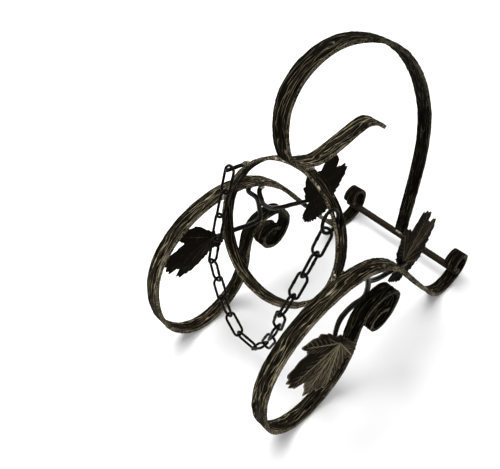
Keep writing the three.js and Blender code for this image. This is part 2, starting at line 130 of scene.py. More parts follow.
# Leaf rims: [degrees from the midrib, share of the leaf's length] at lobe tips and notches, for
# the half below or in front of the midrib and for the other half
FRONT_LEAF_RIM = (
    [[0, 0.98], [12, 0.78], [24, 0.91], [40, 0.8], [67, 0.53], [90, 0.4], [105, 0.53], [127, 0.44],
     [140, 0.2], [180, 0.06]],
    [[0, 0.98], [16, 1.03], [37, 0.7], [46, 0.9], [62, 0.66], [69, 0.52], [76, 0.26], [92, 0.15],
     [180, 0.06]],
)
REAR_LEAF_RIM = (
    [[0, 0.97], [14, 0.98], [27, 0.72], [45, 0.9], [61, 0.61], [72, 0.38], [92, 0.18], [135, 0.2],
     [160, 0.36], [180, 0.4]],
    [[0, 0.97], [12, 0.79], [27, 0.93], [53, 0.73], [74, 0.58], [86, 0.62], [110, 0.57], [135, 0.5],
     [180, 0.4]],
)
# Main veins with side veins, and the finer ones between them, in degrees from the midrib
FRONT_VEINS = ((-4, -46, 24, 50, 106), (-68, 10, 17, 36, 43, 64, 78))
REAR_VEINS = ((3, 45, -27, -86, -122), (24, -12, -40, -66, 158))

# The rim's teeth, their height as a share of the leaf's length, and how far its tip curls back
TEETH = 41.5
TOOTH = 0.025
LEAF_DISH = 1.2

# The near side's leaves. Midrib and face are the directions along the leaf and out of its upper
# face, fold is each half's rise per millimetre from the midrib, and lies is the side of the
# stem's end that the sheet is on, in shares of the standoff. Rub and crisp say how rubbed and how
# sharp the veins' colour is, and lit which half is painted lighter, as painted light
LEAF_PLACES = {
    "front": {
        "midrib": [-0.985, 0, -0.17], "face": [0, -1, 0.16], "fold": 0.10, "lies": 1.04,
        "rub": 1.0, "crisp": 1.0, "lit": 1, "rim": FRONT_LEAF_RIM, "veins": FRONT_VEINS, "seed": 2,
    },
    "rear": {
        "midrib": [0.54, 0, 0.84], "face": [0.02, -1, 0.02], "fold": 0.05, "lies": -1.24,
        "rub": 0.5, "crisp": 0.5, "lit": -1, "rim": REAR_LEAF_RIM, "veins": REAR_VEINS, "seed": 8,
    },
}

# The jump ring's slot: its angle above the hoop's near side, how far it sits in front of the
# hoop's middle line, and how far its cut reaches each way through the bar
SLOT_ANGLE = math.radians(42.5)
SLOT_OFFSET = 0.8
SLOT_CUT = 6.0

# The jump ring: the angle between its plane and the slot's own direction, the angle that its
# middle hangs below the slot, and how far in front of the hoop's middle line its wire passes
RING_TILT = math.radians(58)
RING_DROP = math.radians(2)
RING_OFFSET = 0.3

# The chain peg: the angle that it points outwards, how far its foot is behind the hoop's middle,
# its length, and how far from its foot the last link hangs
PEG_SPREAD = math.radians(12)
PEG_SETBACK = 1.5
PEG_LENGTH = 16.7
PEG_HOLD = 13

# The chain: how many links, how many of them on each side lean on the hoop, their lean from
# upright, and the space left where wire hangs on wire
LINK_COUNT = 17
LEG_LINKS = 4
LEG_LEAN = math.radians(24.2)
LINK_GAP = 0.27


def length_prop(name, description, size):
    """A length in metres whose default is given in millimetres."""
    return bpy.props.FloatProperty(
        name=name, description=description, default=size * MM, min=0.0, unit="LENGTH", precision=5
    )


def colour_prop(name, description, colour):
    """A colour swatch, red, green, blue in linear light."""
    return bpy.props.FloatVectorProperty(
        name=name, description=description, default=(*colour, 1.0), size=4, subtype="COLOR",
        min=0.0, max=1.0,
    )


class HolderSizes(bpy.types.PropertyGroup):
    """Real sizes of the holder's pieces."""

    bar_width: length_prop("Bar width", "Side bars, across the holder", 12)
    bar_thickness: length_prop("Bar thickness", "Side bars, in the plane of the scroll", 4)
    hoop_radius: length_prop("Hoop radius", "Outside radius of the hoop", 51)
    hoop_thickness: length_prop("Hoop thickness", "Hoop's flat bar", 3)
    hoop_width: length_prop("Hoop width", "Hoop's flat bar, through its opening", 10)
    slot_length: length_prop("Slot length", "Slot for the jump ring, along the hoop", 12)
    slot_width: length_prop("Slot width", "Slot for the jump ring", 4.8)
    handle_width: length_prop("Handle width", "Handle's flat bar, across the holder", 12)
    handle_thickness: length_prop("Handle thickness", "Handle's flat bar", 3.5)
    rod_diameter: length_prop("Rod diameter", "Rear cross rod", 6.5)
    stem_diameter: length_prop("Stem diameter", "Leaf stems", 4)
    leaf_length: length_prop("Leaf length", "From the stem to the middle lobe's tip", 46)
    leaf_thickness: length_prop("Leaf thickness", "Sheet of the leaves", 1.2)
    ring_radius: length_prop("Ring radius", "Jump ring, to the middle of its wire", 7.4)
    ring_wire: length_prop("Ring wire", "Jump ring's wire", 2.3)
    link_wire: length_prop("Link wire", "Chain wire", 2)
    link_length: length_prop("Link length", "Chain link, outside", 22)
    link_width: length_prop("Link width", "Chain link, outside", 9.6)
    peg_diameter: length_prop("Peg diameter", "Chain peg", 2.8)
    groove_depth: length_prop("Groove depth", "Forged grooves on the bars' wide faces", 0.55)
    groove_spacing: length_prop("Groove spacing", "Between the forged grooves", 2.3)
    dent_depth: length_prop("Dent depth", "Hammer marks on the bars' narrow faces", 0.45)
    vein_height: length_prop("Vein height", "Raised veins of the leaves", 0.9)


class HolderColours(bpy.types.PropertyGroup):
    """Colours of the holder's finishes."""

    groove_black: colour_prop("Groove black", "Iron in the grooves", (0.0016, 0.0013, 0.0008))
    iron_brown: colour_prop("Iron brown", "Iron on the bars' faces", (0.0105, 0.0079, 0.0045))
    # The grey below colours the rubbed ridges and also the painted highlight along the arrises
    ridge_and_highlight_grey: colour_prop("Ridge grey", "Rubbed ridges of the bars", (0.32, 0.272, 0.178))
    edge_olive: colour_prop("Edge olive", "Hammered edges of the bars", (0.25, 0.212, 0.142))
    leaf_brown: colour_prop("Leaf brown", "Leaves between the veins", (0.0068, 0.0052, 0.0032))
    # The olive below colours the rubbed veins and rims and also the painted light on one half of each
    # leaf
    leaf_olive: colour_prop("Leaf olive", "Rubbed veins and rims", (0.20, 0.168, 0.108))
    wire_black: colour_prop("Wire black", "Chain, ring and stems", (0.003, 0.0026, 0.0021))
    wire_grey: colour_prop("Wire grey", "Worn spots of the wire", (0.06, 0.055, 0.043))
    rod_brown: colour_prop("Rod brown", "Cross rod", (0.0105, 0.0076, 0.0046))
    weld_grey: colour_prop("Weld grey", "Weld beads", (0.40, 0.36, 0.28))
    floor_white: colour_prop("Floor white", "Floor", (0.86, 0.86, 0.86))


def math_method(operation, reflected=False):
    """A method that adds a Math node on a signal and another value, or the other way round."""
    def method(signal, other):
        first, second = (other, signal) if reflected else (signal, other)
        return signal.finish.node("ShaderNodeMath", {"operation": operation}, {0: first, 1: second})

    return method


class Signal:
    """A shader socket that stands in sums, products and limits; each one adds a Math node."""

    def __init__(self, finish, socket):
        self.finish = finish
        self.socket = socket

    __add__ = __radd__ = math_method("ADD")
    __sub__ = math_method("SUBTRACT")
    __rsub__ = math_method("SUBTRACT", reflected=True)
    __mul__ = __rmul__ = math_method("MULTIPLY")
    __truediv__ = math_method("DIVIDE")
    __rtruediv__ = math_method("DIVIDE", reflected=True)
    at_most = math_method("MINIMUM")
    at_least = math_method("MAXIMUM")
    back_and_forth = math_method("PINGPONG")


class Finish:
    """A material under construction."""

    # The Mix node's sockets by number, because those of its other data types have the same names
    MIX_FACTOR, MIX_FIRST, MIX_SECOND, MIX_RESULT = 0, 6, 7, 2

    def __init__(self, name):
        self.material = bpy.data.materials.new(name)
        self.material.use_nodes = True
        self.tree = self.material.node_tree
        self.tree.nodes.clear()

    def node(self, kind, settings, inputs, output=0):
        """Adds a node, sets it up, fills or links its sockets and returns one output."""
        made = self.tree.nodes.new(kind)
        for key, value in settings.items():
            setattr(made, key, value)
        for key, value in inputs.items():
            if isinstance(value, Signal):
                self.tree.links.new(value.socket, made.inputs[key])
            else:
                made.inputs[key].default_value = value
        return None if output is None else Signal(self, made.outputs[output])

    def place(self):
        """Object coordinates."""
        return self.node("ShaderNodeTexCoord", {}, {}, "Object")

    def attribute(self, name):
        return self.node("ShaderNodeAttribute", {"attribute_name": name}, {}, "Fac")

    def mapped(self, vector, **inputs):
        """The same coordinates, scaled, turned or moved."""
        return self.node("ShaderNodeMapping", {}, {"Vector": vector, **inputs})

    def noise(self, vector, scale, detail=3.0, roughness=0.5, distortion=0.0, stretch=None):
        """Noise over the coordinates, which may be stretched apart along each axis first."""
        inputs = {
            "Vector": self.mapped(vector, Scale=stretch) if stretch else vector,
            "Scale": scale, "Detail": detail, "Roughness": roughness, "Distortion": distortion,
        }
        return self.node("ShaderNodeTexNoise", {}, inputs)

    def step(self, value, low, high):
        """Rises smoothly from 0 at low to 1 at high."""
        inputs = {"Value": value, "From Min": low, "From Max": high}
        return self.node("ShaderNodeMapRange", {"interpolation_type": "SMOOTHSTEP"}, inputs)

    def mix(self, factor, first, second):
        """Colour that goes from first to second as factor goes from 0 to 1."""
        inputs = {self.MIX_FACTOR: factor, self.MIX_FIRST: first, self.MIX_SECOND: second}
        return self.node("ShaderNodeMix", {"data_type": "RGBA"}, inputs, self.MIX_RESULT)

    def surface(self, inputs, height=None, depth=0.0, strength=1.0):
        """The Principled surface, with a bump of the given height and depth where there is one."""
        if height is not None:
            bump = {"Strength": strength, "Distance": depth, "Height": height}
            inputs = {**inputs, "Normal": self.node("ShaderNodeBump", {}, bump)}
        shader = self.node("ShaderNodeBsdfPrincipled", {}, inputs)
        self.node("ShaderNodeOutputMaterial", {}, {"Surface": shader}, None)
        return self.material


# Rubbed lines on the bars: degrees off the bar's length, spacing in metres, width as a share of
# the spacing, and how far each family is moved so that no two are alike
STRONG_LINES = ((6, 0.0034, 0.13, 0.3), (-7, 0.0040, 0.12, 0.7))
FAINT_LINES = ((11, 0.0015, 0.24, 0.1), (-3, 0.0019, 0.2, 0.9))


def forged_finish(finish, colours):
    """Forged bar: near-black faces crossed by thin rubbed lines, and speckled hammered edges, with a
    painted highlight along the arrises and painted shade where a row's wear is low.
    """
    length = finish.node("ShaderNodeUVMap", {"uv_map": "bar"}, {})
    place = finish.place()
    ridge, edge, wear = (finish.attribute(name) for name in ("ridge", "edge", "wear"))

    def lines(degrees, spacing, width, key):
        """Thin lines that run nearly along the bar, wander with noise and come and go."""
        rotation = (0, 0, math.radians(degrees))
        turned = finish.mapped(length, Rotation=rotation, Location=(key, key, 0))
        height = finish.node("ShaderNodeSeparateXYZ", {}, {"Vector": turned}, "Y")
        sway = finish.noise(turned, 1.0, 2.0, 0.45, stretch=(38, 120, 1))
        spread = (height / spacing + sway * 4.0).back_and_forth(0.5)
        shown = finish.noise(turned, 1.0, 1.0, 0.5, stretch=(30, 0.8 / spacing, 1))
        return (1 - finish.step(spread, 0.2 * width, width)) * finish.step(shown, 0.47, 0.56)

    patch = finish.noise(place, 60.0, 3.0, 0.6)
    strand = finish.noise(length, 1.0, 3.0, 0.6, stretch=(75, 520, 1))
    streak = finish.noise(length, 1.0, 4.0, 0.65, 0.8, stretch=(240, 2400, 1))
    speckle = finish.noise(place, 1000.0, 2.0, 0.7)
    strong, faint = (
        lines(*one).at_least(lines(*other)) for one, other in (STRONG_LINES, FAINT_LINES)
    )
    rub_and_painted_light = strong * (0.35 + finish.step(patch, 0.42, 0.58) * 0.65) + faint * 0.07
    chips = finish.step(speckle * 0.5 + streak * 0.5, 0.63, 0.73) * 0.35
    # Low wear thins the rubbed lines and chips: partly less wear, partly painted shade
    rub_and_painted_light, chips = rub_and_painted_light * (0.1 + wear * 0.9), chips * (0.35 + wear * 0.65)
    # Painted highlight: a thin bright line along each arris, in patches and where the wear is high
    painted_arris_highlight = finish.step(edge, 0.05, 0.45) * (1 - finish.step(edge, 0.55, 0.95))
    painted_arris_highlight = painted_arris_highlight * finish.step(patch * 0.7 + streak * 0.5, 0.54, 0.66) * wear * 0.9
    # Brown on raised iron, groove black in the grooves, and painted shade where the wear is low
    groove_and_painted_shade = finish.step(ridge * 0.6 + strand * 0.6 + streak * 0.3, 0.55, 1.1) * wear
    flecked = edge * finish.step(speckle * 0.75 + patch * 0.35, 0.49, 0.66) * (0.35 + wear * 0.65)
    colour = finish.mix(groove_and_painted_shade, colours.groove_black, colours.iron_brown)
    colour = finish.mix(flecked, colour, colours.edge_olive)
    # The rubbed lines, the chips and the painted arris highlight take the same grey
    colour = finish.mix((rub_and_painted_light + chips + painted_arris_highlight).at_most(1.0), colour, colours.ridge_and_highlight_grey)
    inputs = {
        "Base Color": colour, "Metallic": rub_and_painted_light.at_most(1.0) * 0.3,
        "Roughness": 0.5 + speckle * 0.2, "Specular IOR Level": 0.004,
    }
    height = ridge * 0.3 + streak * 0.4 + speckle * 0.2 + strong * 0.5 + faint * 0.2
    return finish.surface(inputs, height, 0.0005)


def leaf_finish(finish, colours):
    """Pressed leaf: dark brown between rubbed, raised veins, with painted light on one half."""
    place = finish.place()
    cloud = finish.noise(place, 130.0, 4.0, 0.65)
    grain = finish.noise(place, 1500.0, 2.0, 0.6)
    # Olive on the rubbed veins and rims, and painted light on one half of the leaf
    rubbed_and_painted_light = finish.step(finish.attribute("ridge") * 0.9 + cloud * 0.5 + grain * 0.2, 0.42, 1.12)
    inputs = {
        "Base Color": finish.mix(rubbed_and_painted_light, colours.leaf_brown, colours.leaf_olive),
        "Metallic": rubbed_and_painted_light * 0.25, "Roughness": 0.72 - rubbed_and_painted_light * 0.2 + grain * 0.08,
        "Specular IOR Level": 0.01,
    }
    return finish.surface(inputs, grain * 0.5 + cloud * 0.5, 0.0002, 0.6)


def wire_finish(finish, colours, iron, polish, shine):
    """Smooth drawn wire: dark and fairly glossy, with worn spots."""
    place = finish.place()
    cloud = finish.noise(place, 210.0, 4.0, 0.6)
    grain = finish.noise(place, 1800.0, 2.0, 0.6)
    spots = finish.step(cloud * 0.8 + grain * 0.3, 0.60, 0.86) * 0.8
    inputs = {
        "Base Color": finish.mix(spots, getattr(colours, iron), colours.wire_grey),
        "Metallic": 0.0, "Roughness": polish + cloud * 0.12 + spots * 0.1,
        "Specular IOR Level": shine, "Specular Tint": (1.0, 0.84, 0.62, 1.0),
    }
    return finish.surface(inputs, cloud * 0.6 + grain * 0.4, 0.00012, 0.5)


def weld_finish(finish, colours):
    """Weld bead: bright scale over dark iron."""
    place = finish.place()
    cloud = finish.noise(place, 420.0, 3.0, 0.6)
    grain = finish.noise(place, 1700.0, 2.0, 0.6)
    bright = finish.step(cloud * 0.8 + grain * 0.3, 0.46, 0.66)
    inputs = {
        "Base Color": finish.mix(bright, colours.iron_brown, colours.weld_grey),
        "Metallic": 0.2, "Roughness": 0.62 - bright * 0.2, "Specular IOR Level": 0.1,
    }
    return finish.surface(inputs, cloud * 0.6 + grain * 0.4, 0.0003, 0.8)


def floor_finish(finish, colours):
    """Matt floor, clouded a little."""
    cloud = finish.noise(finish.place(), 6.0, 2.0)
    white = tuple(colours.floor_white)
    paler = tuple(0.97 * c for c in white[:3]) + (1.0,)
    return finish.surface({"Base Color": finish.mix(cloud, white, paler), "Roughness": 0.9})


# Each finish: its maker and, for wire, the iron's colour, its roughness and its specular level
FINISHES = {
    "forged_bar": (forged_finish,),
    "leaf_iron": (leaf_finish,),
    "weld": (weld_finish,),
    "floor": (floor_finish,),
    "chain_wire": (wire_finish, "wire_black", 0.26, 0.045),
    "stem_wire": (wire_finish, "wire_black", 0.17, 0.1),
    "dark_rod": (wire_finish, "rod_brown", 0.4, 0.05),
}


def finish_named(kind):
    """The material of that kind, made once."""
    name = f"{kind}_finish"
    if name in bpy.data.materials:
        return bpy.data.materials[name]
    maker, *look = FINISHES[kind]
    return maker(Finish(name), bpy.context.scene.holder_colours, *look)


def scatter(column, row, seed, turn=0.0, reach=43758.5453):
    """A value from 0 to 1 that looks random: the fraction of a large sine of whole numbers."""
    value = np.sin(column * 127.1 + row * 311.7 + seed * 74.7 + turn) * reach
    return value - np.floor(value)


def ease(value, low, high):
    """0 below low, 1 above high, and 3 t squared less 2 t cubed between."""
    t = np.clip((value - low) / (high - low), 0, 1)
    return t * t * (3 - 2 * t)


def noise(x, y, seed):
    """Smooth noise from 0 to 1: a scattered value at each whole x and y, eased between them."""
    column, row = np.floor(x), np.floor(y)
    tx, ty = ease(x - column, 0, 1), ease(y - row, 0, 1)
    low, high = (
        scatter(column, row + j, seed) * (1 - tx) + scatter(column + 1, row + j, seed) * tx
        for j in (0, 1)
    )
    return low * (1 - ty) + high * ty


def cell_edge(x, y, seed):
    """How far a point is from the border of its cell, where the cells surround one scattered point
    in each whole square: the distance to the second nearest point less that to the nearest."""
    column, row = np.floor(x), np.floor(y)
    nearest = np.full(np.shape(x), 9.0)
    second = nearest.copy()
    for i, j in itertools.product((-1, 0, 1), repeat=2):
        square = (column + i, row + j, seed)
        off_x = column + i + scatter(*square) - x
        off_y = row + j + scatter(*square, 51.3, 24634.6345) - y
        away = np.hypot(off_x, off_y)
        second = np.minimum(second, np.maximum(nearest, away))
        nearest = np.minimum(nearest, away)
    return second - nearest


def bark(along, across, spacing, seed):
    """Height from 0 to 1 of the forged grooves. Long narrow cells lie along the bar, leaning a
    little to either side, and their borders stand up as a net of sharp ridges; noise lowers some
    of the ridges and roughens the whole."""
    warp = 1.6 * (noise(along / 9, across / 4, seed) - 0.5)
    warp = warp + 3.0 * (noise(along / 28, along * 0, seed + 1) - 0.5)
    heights = []
    for slope, pitch, index in ((0.09, 1.0, 2), (-0.15, 1.3, 3)):
        lane = (across + slope * along + warp) / (spacing * pitch)
        edge = cell_edge(along / (spacing * 7), lane, seed + 7 * index)
        strength = 0.3 + 0.7 * ease(noise(along / 10, across / 2.5, seed + index), 0.3, 0.7)
        heights.append((1 - ease(edge, 0.0, 0.5)) * strength)
    lumps = noise(along / 3.5, across / 1.3, seed + 5)
    return np.clip(np.maximum(*heights) * 0.8 + 0.35 * (lumps - 0.3), 0, 1)


def closed_pattern(pattern, along, total, *rest):
    """A pattern that meets itself at the end of a closed length: over the last tenth it fades into
    the same pattern one whole length earlier."""
    share = ease(along, 0.9 * total, total)
    return pattern(along, *rest) * (1 - share) + pattern(along - total, *rest) * share


def catmull(points, per_span):
    """Centripetal Catmull-Rom curve. Each span is the cubic in t that meets its two points with
    tangents weighted by the square roots of the distances between neighbouring points."""
    points = np.asarray(points, float)
    ends = [2 * points[0] - points[1]], [2 * points[-1] - points[-2]]
    full = np.concatenate([ends[0], points, ends[1]])
    knots = np.linalg.norm(np.diff(full, axis=0), axis=1) ** 0.5
    d0, d1, d2 = (knots[:-2, None], knots[1:-1, None], knots[2:, None])
    p0, p1, p2, p3 = full[:-3], full[1:-2], full[2:-1], full[3:]
    m1 = ((p1 - p0) / d0 - (p2 - p0) / (d0 + d1) + (p2 - p1) / d1) * d1
    m2 = ((p2 - p1) / d1 - (p3 - p1) / (d1 + d2) + (p3 - p2) / d2) * d1
    t = np.linspace(0, 1, per_span, endpoint=False)[None, :, None]
    p1, p2, m1, m2 = (a[:, None, :] for a in (p1, p2, m1, m2))
    curve = p1 + m1 * t + (3 * (p2 - p1) - 2 * m1 - m2) * t**2 + (2 * (p1 - p2) + m1 + m2) * t**3
    return np.concatenate([curve.reshape(-1, points.shape[1]), points[-1:]])


def even_path(points, pitch):
    """The curve through the points at even steps of about pitch: points, unit tangents and the
    distance along."""
    dense = catmull(points, 24)
    run = np.concatenate([[0], np.cumsum(np.linalg.norm(np.diff(dense, axis=0), axis=1))])
    along = np.linspace(0, run[-1], int(run[-1] / pitch) + 1)
    path = np.stack([np.interp(along, run, dense[:, i]) for i in range(dense.shape[1])], axis=1)
    tangent = np.gradient(path, axis=0)
    return path, tangent / np.linalg.norm(tangent, axis=1)[:, None], along


def section(wide, narrow, bend):
    """A rounded rectangle walked anticlockwise, as arrays: the share of the half width and of the
    half thickness where the side's point or the corner's centre lies, and the outward direction.
    Each quarter is the first one, a side at x = 1 and the corner above it, turned by 90 degrees."""
    turn = np.radians(np.linspace(0, 90, bend + 2)[1:-1])
    parts = []
    for quarter, count in enumerate((narrow, wide, narrow, wide)):
        start = quarter * math.pi / 2
        c, s = round(math.cos(start)), round(math.sin(start))
        place, side, bow = np.linspace(-1, 1, count), np.ones(count), np.ones(bend)
        parts.append([c - s * place, s + c * place, c * side, s * side])
        parts.append([(c - s) * bow, (s + c) * bow, np.cos(start + turn), np.sin(start + turn)])
    return np.concatenate(parts, axis=1)


def end_inset(along, total, radius):
    """How far a section shrinks near an open end, so that the end is a quarter round."""
    reach = np.minimum(along, total - along)
    depth = np.clip(radius - reach, 0, radius)
    return radius - np.sqrt(radius**2 - depth**2)


def cross(a, b):
    """The cross product of directions or rows of them."""
    return np.cross(np.broadcast_to(a, np.broadcast_shapes(np.shape(a), np.shape(b))), b)


def unit(vector):
    """The vector or rows of vectors, one long."""
    vector = np.asarray(vector, float)
    return vector / np.linalg.norm(vector, axis=-1, keepdims=True)


def turns(count):
    """Evenly spaced angles round a full turn."""
    return np.arange(count) * 2 * math.pi / count


class Shell:
    """Points, faces, UV corners and attributes of one closed surface, in millimetres."""

    def __init__(self, points, quads, places, caps=(), **attributes):
        self.points = points.reshape(-1, 3)
        self.quads = quads
        self.places = places
        self.caps = [list(cap) for cap in caps]
        self.attributes = {name: np.ravel(value) for name, value in attributes.items()}
        self.outwards()

    def outwards(self):
        """Turns every face over if the enclosed volume, the sum over the faces of corner dot
        (corner cross corner), is negative."""
        a, b, c, d = (self.points[self.quads[:, k]] for k in range(4))
        volume = np.einsum("ij,ij->", a, cross(b, c)) + np.einsum("ij,ij->", a, cross(c, d))
        if volume < 0:
            self.quads = self.quads[:, ::-1]
            self.places = self.places[:, ::-1]
            self.caps = [cap[::-1] for cap in self.caps]


# A quad's corners on a grid, as steps along its rows and columns
QUAD = ((0, 0), (1, 0), (1, 1), (0, 1))


def grid_quads(rows, columns, closed=False):
    """Quads of a grid whose columns, and rows where it is closed, meet round the back, with the row
    and the column that each starts from."""
    i, j = np.indices((rows if closed else rows - 1, columns)).reshape(2, -1)
    corners = [(i + a) % rows * columns + (j + b) % columns for a, b in QUAD]
    return np.stack(corners, axis=1), i, j


def grid_shell(points, closed=False, u=None, v=None, **attributes):
    """Shell of a grid of points whose columns close on themselves. Its rows close too, or its two
    ends are capped. On the UV map, u goes with the rows and v with the columns, each with one value
    more than there are of them."""
    rows, columns = points.shape[:2]
    u, v = (np.arange(rows + 1), np.arange(columns + 1)) if u is None else (u, v)
    quads, i, j = grid_quads(rows, columns, closed)
    places = np.stack([np.stack([u[i + a], v[j + b]], axis=1) for a, b in QUAD], axis=1)
    last = (rows - 1) * columns
    caps = () if closed else (range(columns), range(last, last + columns)[::-1])
    return Shell(points, quads, places, caps, **attributes)


def merged(shells):
    """Several shells as one."""
    base, quads, caps = 0, [], []
    for shell in shells:
        quads.append(shell.quads + base)
        caps += [[index + base for index in cap] for cap in shell.caps]
        base += len(shell.points)
    points, places = (
        np.concatenate([getattr(shell, key) for shell in shells]) for key in ("points", "places")
    )
    return Shell(points, np.concatenate(quads), places, caps)


def add_object(name, data):
    """A new object in the scene."""
    made = bpy.data.objects.new(name, data)
    bpy.context.scene.collection.objects.link(made)
    return made


def shell_mesh(name, shell):
    """A mesh, in metres and in the frame's place, with a shell's points and faces."""
    mesh = bpy.data.meshes.new(name)
    points = (shell.points + SHIFT) * MM
    mesh.from_pydata(points.tolist(), [], shell.quads.tolist() + shell.caps)
    return mesh


def piece(name, shell, slot, body, *nodes, finish=None):
    """Makes the mesh object of a shell, gives it its slot's finish, or the one that is named, and
    its body, and hides what it replaces."""
    mesh = shell_mesh(name, shell)
    uv = np.zeros((len(mesh.loops), 2))
    flat = shell.places.reshape(-1, 2)
    uv[: len(flat)] = flat * MM
    mesh.uv_layers.new(name="bar").data.foreach_set("uv", uv.ravel())
    for key, value in shell.attributes.items():
        mesh.attributes.new(key, "FLOAT", "POINT").data.foreach_set("value", value)
    mesh.polygons.foreach_set("use_smooth", np.ones(len(mesh.polygons), bool))
    mesh.materials.append(finish_named(finish or slot))
    mesh.update()
    made = add_object(name, mesh)
    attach(made, body)
    if nodes:
        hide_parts(*nodes)
    return made


def forged_bar(sizes, path, tangent, along, across, width, thickness, seed, wear, counts,
               closed=False, relief=1.0, corner=0.55):
    """Flat bar forged along a path. Each row is the rounded rectangle spanned by the across
    direction and the path's normal, moved inwards by the grooves on the wide faces and by the
    hammer dents on the narrow ones, and shrunk towards an open end. Wear says how far each row is
    rubbed bright, from 0 to 1, and where it is low it also paints shade into the colour; relief says
    how deep the grooves and dents are. The counts are the section's points on a wide side, on a
    narrow side and round a corner."""
    sx, sy, nx, ny = section(*counts)
    normal = cross(across, tangent)
    step = along[1] - along[0]
    total = along[-1] + (step if closed else 0)

    def pattern(function, distance, *rest):
        if closed:
            return closed_pattern(function, distance, total, *rest)
        return function(distance, *rest)

    def slow(distance, size, key):
        return noise(distance / size, distance * 0, seed + key)

    inset = 0 if closed else end_inset(along, total, 0.7 * thickness / 2)
    a = (width / 2 - 0.25 * pattern(slow, along, 9.0, 20) - inset)[:, None]
    b = (thickness / 2 - 0.16 * pattern(slow, along, 7.0, 21) - inset)[:, None]
    x = sx * (a - corner) + corner * nx
    y = sy * (b - corner) + corner * ny
    rows = np.repeat(along[:, None], len(sx), axis=1)
    face_seed = seed + np.where(sy > 0, 0.0, 37.0)

    def faces(distance):
        return bark(distance, x, sizes.groove_spacing, face_seed)

    def dents(distance):
        place = 9 * np.sign(nx)
        coarse = noise(distance / 4.3, y / 2.2 + place, seed + 11)
        fine = noise(distance / 1.5, y / 1.1 + place, seed + 12)
        return 0.65 * coarse + 0.35 * fine

    height, knock = pattern(faces, rows), pattern(dents, rows)
    wide, narrow = ny**2, nx**2
    grooves = sizes.groove_depth * (1 - height) * wide
    sink = relief * (grooves + sizes.dent_depth * (1 - knock) * narrow)
    points = path[:, None] + (x - sink * nx)[..., None] * across
    points = points + (y - sink * ny)[..., None] * normal[:, None]
    u = np.append(along, along[-1] + step)
    girth = np.hypot(np.diff(sx, append=sx[0]) * width / 2, np.diff(sy, append=sy[0]) * thickness / 2)
    v = np.concatenate([[0], np.cumsum(girth + 0.2)])
    ridge = height * wide + narrow * (0.35 + 0.3 * knock)
    # Each point's wear: rubbed wear and painted shade
    edge, rubbed_and_painted_light = np.broadcast_to(narrow, x.shape), np.broadcast_to(wear[:, None], x.shape)
    return grid_shell(points, closed, u, v, ridge=ridge, edge=edge, wear=rubbed_and_painted_light)


def round_bar(path, across, normal, radius, closed, along):
    """Round wire or rod: each row is the circle of the given radius, which may change along the
    path and around it, spanned by the across and normal directions."""
    columns = radius.shape[1]
    angle = turns(columns)[:, None]
    ring = across[:, None] * np.cos(angle) + normal[:, None] * np.sin(angle)
    u = np.append(along, 2 * along[-1] - along[-2])
    v = np.linspace(0, 2 * math.pi * radius.mean(), columns + 1)
    return grid_shell(path[:, None] + radius[..., None] * ring, closed, u, v)


def straight_rod(start, end, radius, columns, pitch, roughness, seed):
    """Round rod from start to end with quarter-round ends and shallow hammer marks."""
    start, end = np.array(start, float), np.array(end, float)
    total = np.linalg.norm(end - start)
    way = (end - start) / total
    tip = 0.45 * radius
    body = np.linspace(tip, total - tip, int(total / pitch))
    curve = tip * (1 - np.cos(np.linspace(0, math.pi / 2, 6)))[:-1]
    along = np.concatenate([curve, body, total - curve[::-1]])
    across = np.broadcast_to(unit(cross(way, [0.3, 0.1, 1.0])), (len(along), 3))
    normal = np.broadcast_to(cross(way, across[0]), (len(along), 3))
    angle, row = turns(columns), along[:, None]
    marks = noise(row / 3, 2.5 * np.cos(angle) + 9, seed)
    marks = marks * noise(row / 2, 2.5 * np.sin(angle) + 9, seed + 1)
    wide = radius - end_inset(row, total, tip) - roughness * marks
    return round_bar(start + row * way, across, normal, wide, False, along)


def bead(centre, first, second, radii, seed):
    """Weld bead: an ellipsoid on two directions and their cross product, its radius swollen by
    ripples along the first and by noise, with both poles closed."""
    first = unit(first)
    third = unit(cross(first, second))
    second = cross(third, first)
    rows, columns = 22, 28
    polar = np.linspace(0.04, math.pi - 0.04, rows)[:, None]
    around = turns(columns)
    lump = noise(3 * polar + seed, 1.5 * np.cos(around) + 5, seed) - 0.5
    girth = (1 + 0.05 * np.sin(7 * polar + seed) + 0.22 * lump) * np.sin(polar)
    x = np.broadcast_to(radii[0] * np.cos(polar), girth.shape)
    y, z = radii[1] * girth * np.cos(around), radii[2] * girth * np.sin(around)
    points = centre + np.stack([x, y, z], axis=2) @ np.array([first, second, third])
    u, v = np.linspace(0, 2 * radii[0], rows + 1), np.linspace(0, 6 * radii[1], columns + 1)
    return grid_shell(points, False, u, v)


def lengths(context):
    """The holder's sizes in millimetres, by name."""
    sizes = context.scene.holder_sizes
    return SimpleNamespace(**{key: getattr(sizes, key) / MM for key in HolderSizes.__annotations__})


def plane_path(points, pitch):
    """The even path through points in X and Z, in the holder's middle plane."""
    x, z = np.array(points, float).T
    return even_path(np.stack([x, 0 * x, z], axis=1), pitch)


def middle_y(sizes):
    """How far the middle of each side bar lies from the holder's middle plane."""
    return sizes.hoop_radius + WELD_GAP + sizes.bar_width / 2


def around_hoop(angle):
    """The direction out from the hoop's middle at an angle from its far side, over its top."""
    angle = np.asarray(angle)[..., None]
    return np.cos(angle) * SIDE + np.sin(angle) * RISE


def hoop_seat(sizes):
    """The middle of the handle's seat on top of the hoop."""
    return HOOP_CENTRE + RISE * (sizes.hoop_radius + WELD_GAP + sizes.handle_thickness / 2)


def slot_frame(sizes):
    """The hoop's slot: its own direction, the direction up the hoop and its middle."""
    out, up = around_hoop(math.pi - SLOT_ANGLE), around_hoop(math.pi / 2 - SLOT_ANGLE)
    return out, up, HOOP_CENTRE + out * (sizes.hoop_radius - sizes.hoop_thickness / 2)


